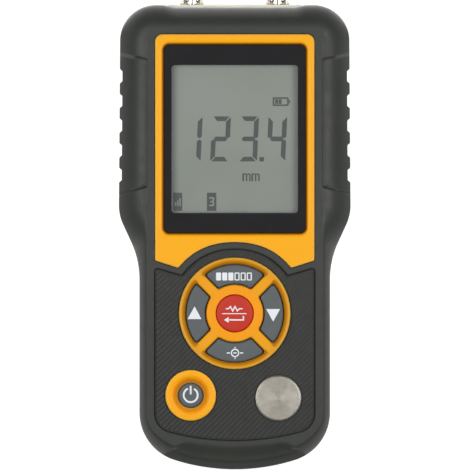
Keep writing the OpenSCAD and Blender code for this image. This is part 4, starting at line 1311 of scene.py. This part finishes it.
# ---------------------------------------------------------------- cell cover on the back
def battery_cover():
    sh = Shape()
    pts = [(18.95, -70.95), (18.95, -17.05), (4.95, -17.05), (4.95, -10.05), (-4.95, -10.05), (-4.95, -17.05), (-18.95, -17.05), (-18.95, -70.95)]
    loop = spaced(fillet(pts, [1.9, 1.9, 1.2, 1.9, 1.9, 1.2, 1.9, 1.9], 8), 2.0)
    out = [sh.ring(offset(loop, -d), z) for d, z in [(0.35, 0.6), (0.1, 0.66), (0, 0.85), (0, 2.6)]]
    sh.stack(out)
    low, top = [out[0]], [out[-1]]
    for i in range(6):
        y = -65.5 + 2.2 * i
        g = [sh.ring(offset(rrect(-9, 9, y - 0.55, y + 0.55, 0.4, 5), -d), z) for d, z in [(0, 0.6), (0.1, 0.75), (0.28, 0.92)]]
        sh.stack(g)
        sh.cap([g[-1]])
        low.append(g[0])
    h = [sh.ring(circle(0, -13.6, r, 48), z) for r, z in [(2.6, 0.6), (2.4, 0.75), (2.4, 1.8), (1.35, 1.8), (1.35, 2.6)]]
    sh.stack(h)
    low.append(h[0])
    top.append(h[-1])
    sh.cap(low)
    sh.cap(top)
    for sx in (-10, 10):                              # two tongues that hook under the shell
        sh2 = rrect(sx - 1.9, sx + 1.9, -72.3, -70.9, 0.3, 4)
        sh.prism(sh2, 1.85, 2.6)
    return sh


piece("battery_cover_moulded", battery_cover(), [M["panel"]], replaces=["battery_cover"], angle=40)

# ---------------------------------------------------------------- floor, light and camera
floor = bpy.data.meshes.new("floor")
floor.from_pydata([(-3, -3, -0.00005), (3, -3, -0.00005), (3, 3, -0.00005), (-3, 3, -0.00005)], [], [(0, 1, 2, 3)])
fl = bpy.data.objects.new("floor", floor)
bpy.context.scene.collection.objects.link(fl)
fm, ft, fp = tree("pale_floor")
fv = coords(ft)
ft.links.new(ramp(ft, noise(ft, fv, 60, 2.0), (0.54, 0.54, 0.54), (0.56, 0.56, 0.56)), fp.inputs["Base Color"])
fp.inputs["Roughness"].default_value = 0.9
fp.inputs["Specular IOR Level"].default_value = 0.1
fp.inputs["Emission Color"].default_value = (1, 1, 1, 1)
fp.inputs["Emission Strength"].default_value = 0.82
floor.materials.append(fm)

scene = bpy.context.scene
world = bpy.data.worlds.new("studio")
scene.world = world
world.use_nodes = True
wt = world.node_tree
bg = wt.nodes["Background"]
tc = wt.nodes.new("ShaderNodeTexCoord")
sp = wt.nodes.new("ShaderNodeSeparateXYZ")
wt.links.new(tc.outputs["Generated"], sp.inputs["Vector"])
wr = wt.nodes.new("ShaderNodeValToRGB")
wr.color_ramp.elements[0].position, wr.color_ramp.elements[0].color = 0.0, (0.60, 0.60, 0.60, 1)
wr.color_ramp.elements[1].position, wr.color_ramp.elements[1].color = 0.95, (0.33, 0.33, 0.33, 1)
for at, level in ((0.25, 0.20), (0.45, 0.08), (0.62, 0.09)):
    wr.color_ramp.elements.new(at).color = (level, level, level, 1)
wt.links.new(sp.outputs["Z"], wr.inputs["Fac"])
wt.links.new(wr.outputs["Color"], bg.inputs["Color"])
bg.inputs["Strength"].default_value = 1.0


def softbox(name, at, size, power, aim=(0, 0, 0.02)):
    ld = bpy.data.lights.new(name, "AREA")
    ld.shape = "RECTANGLE"
    ld.size, ld.size_y = size
    ld.energy = power
    ob = bpy.data.objects.new(name, ld)
    scene.collection.objects.link(ob)
    ob.location = at
    ob.rotation_euler = (Vector(aim) - Vector(at)).to_track_quat("-Z", "Y").to_euler()
    ob.visible_camera = False
    return ob


softbox("left_box", (-0.24, 0.03, 0.52), (0.30, 0.25), 1.40)
softbox("right_box", (0.24, 0.03, 0.52), (0.30, 0.25), 1.42)

cam_data = bpy.data.cameras.new("camera")
cam = bpy.data.objects.new("camera", cam_data)
scene.collection.objects.link(cam)
cam_data.sensor_fit = "HORIZONTAL"
cam_data.sensor_width = 36.0
DIST = 5.0
cam_data.lens = 36.0 * (DIST - 0.036) / 0.16215
cam_data.clip_start, cam_data.clip_end = 0.1, 50.0
cam.location = (0.00009, -0.00106, DIST)
cam.rotation_euler = (0, 0, 0)
scene.camera = cam
scene.view_settings.view_transform = "Standard"
scene.view_settings.look = "None"
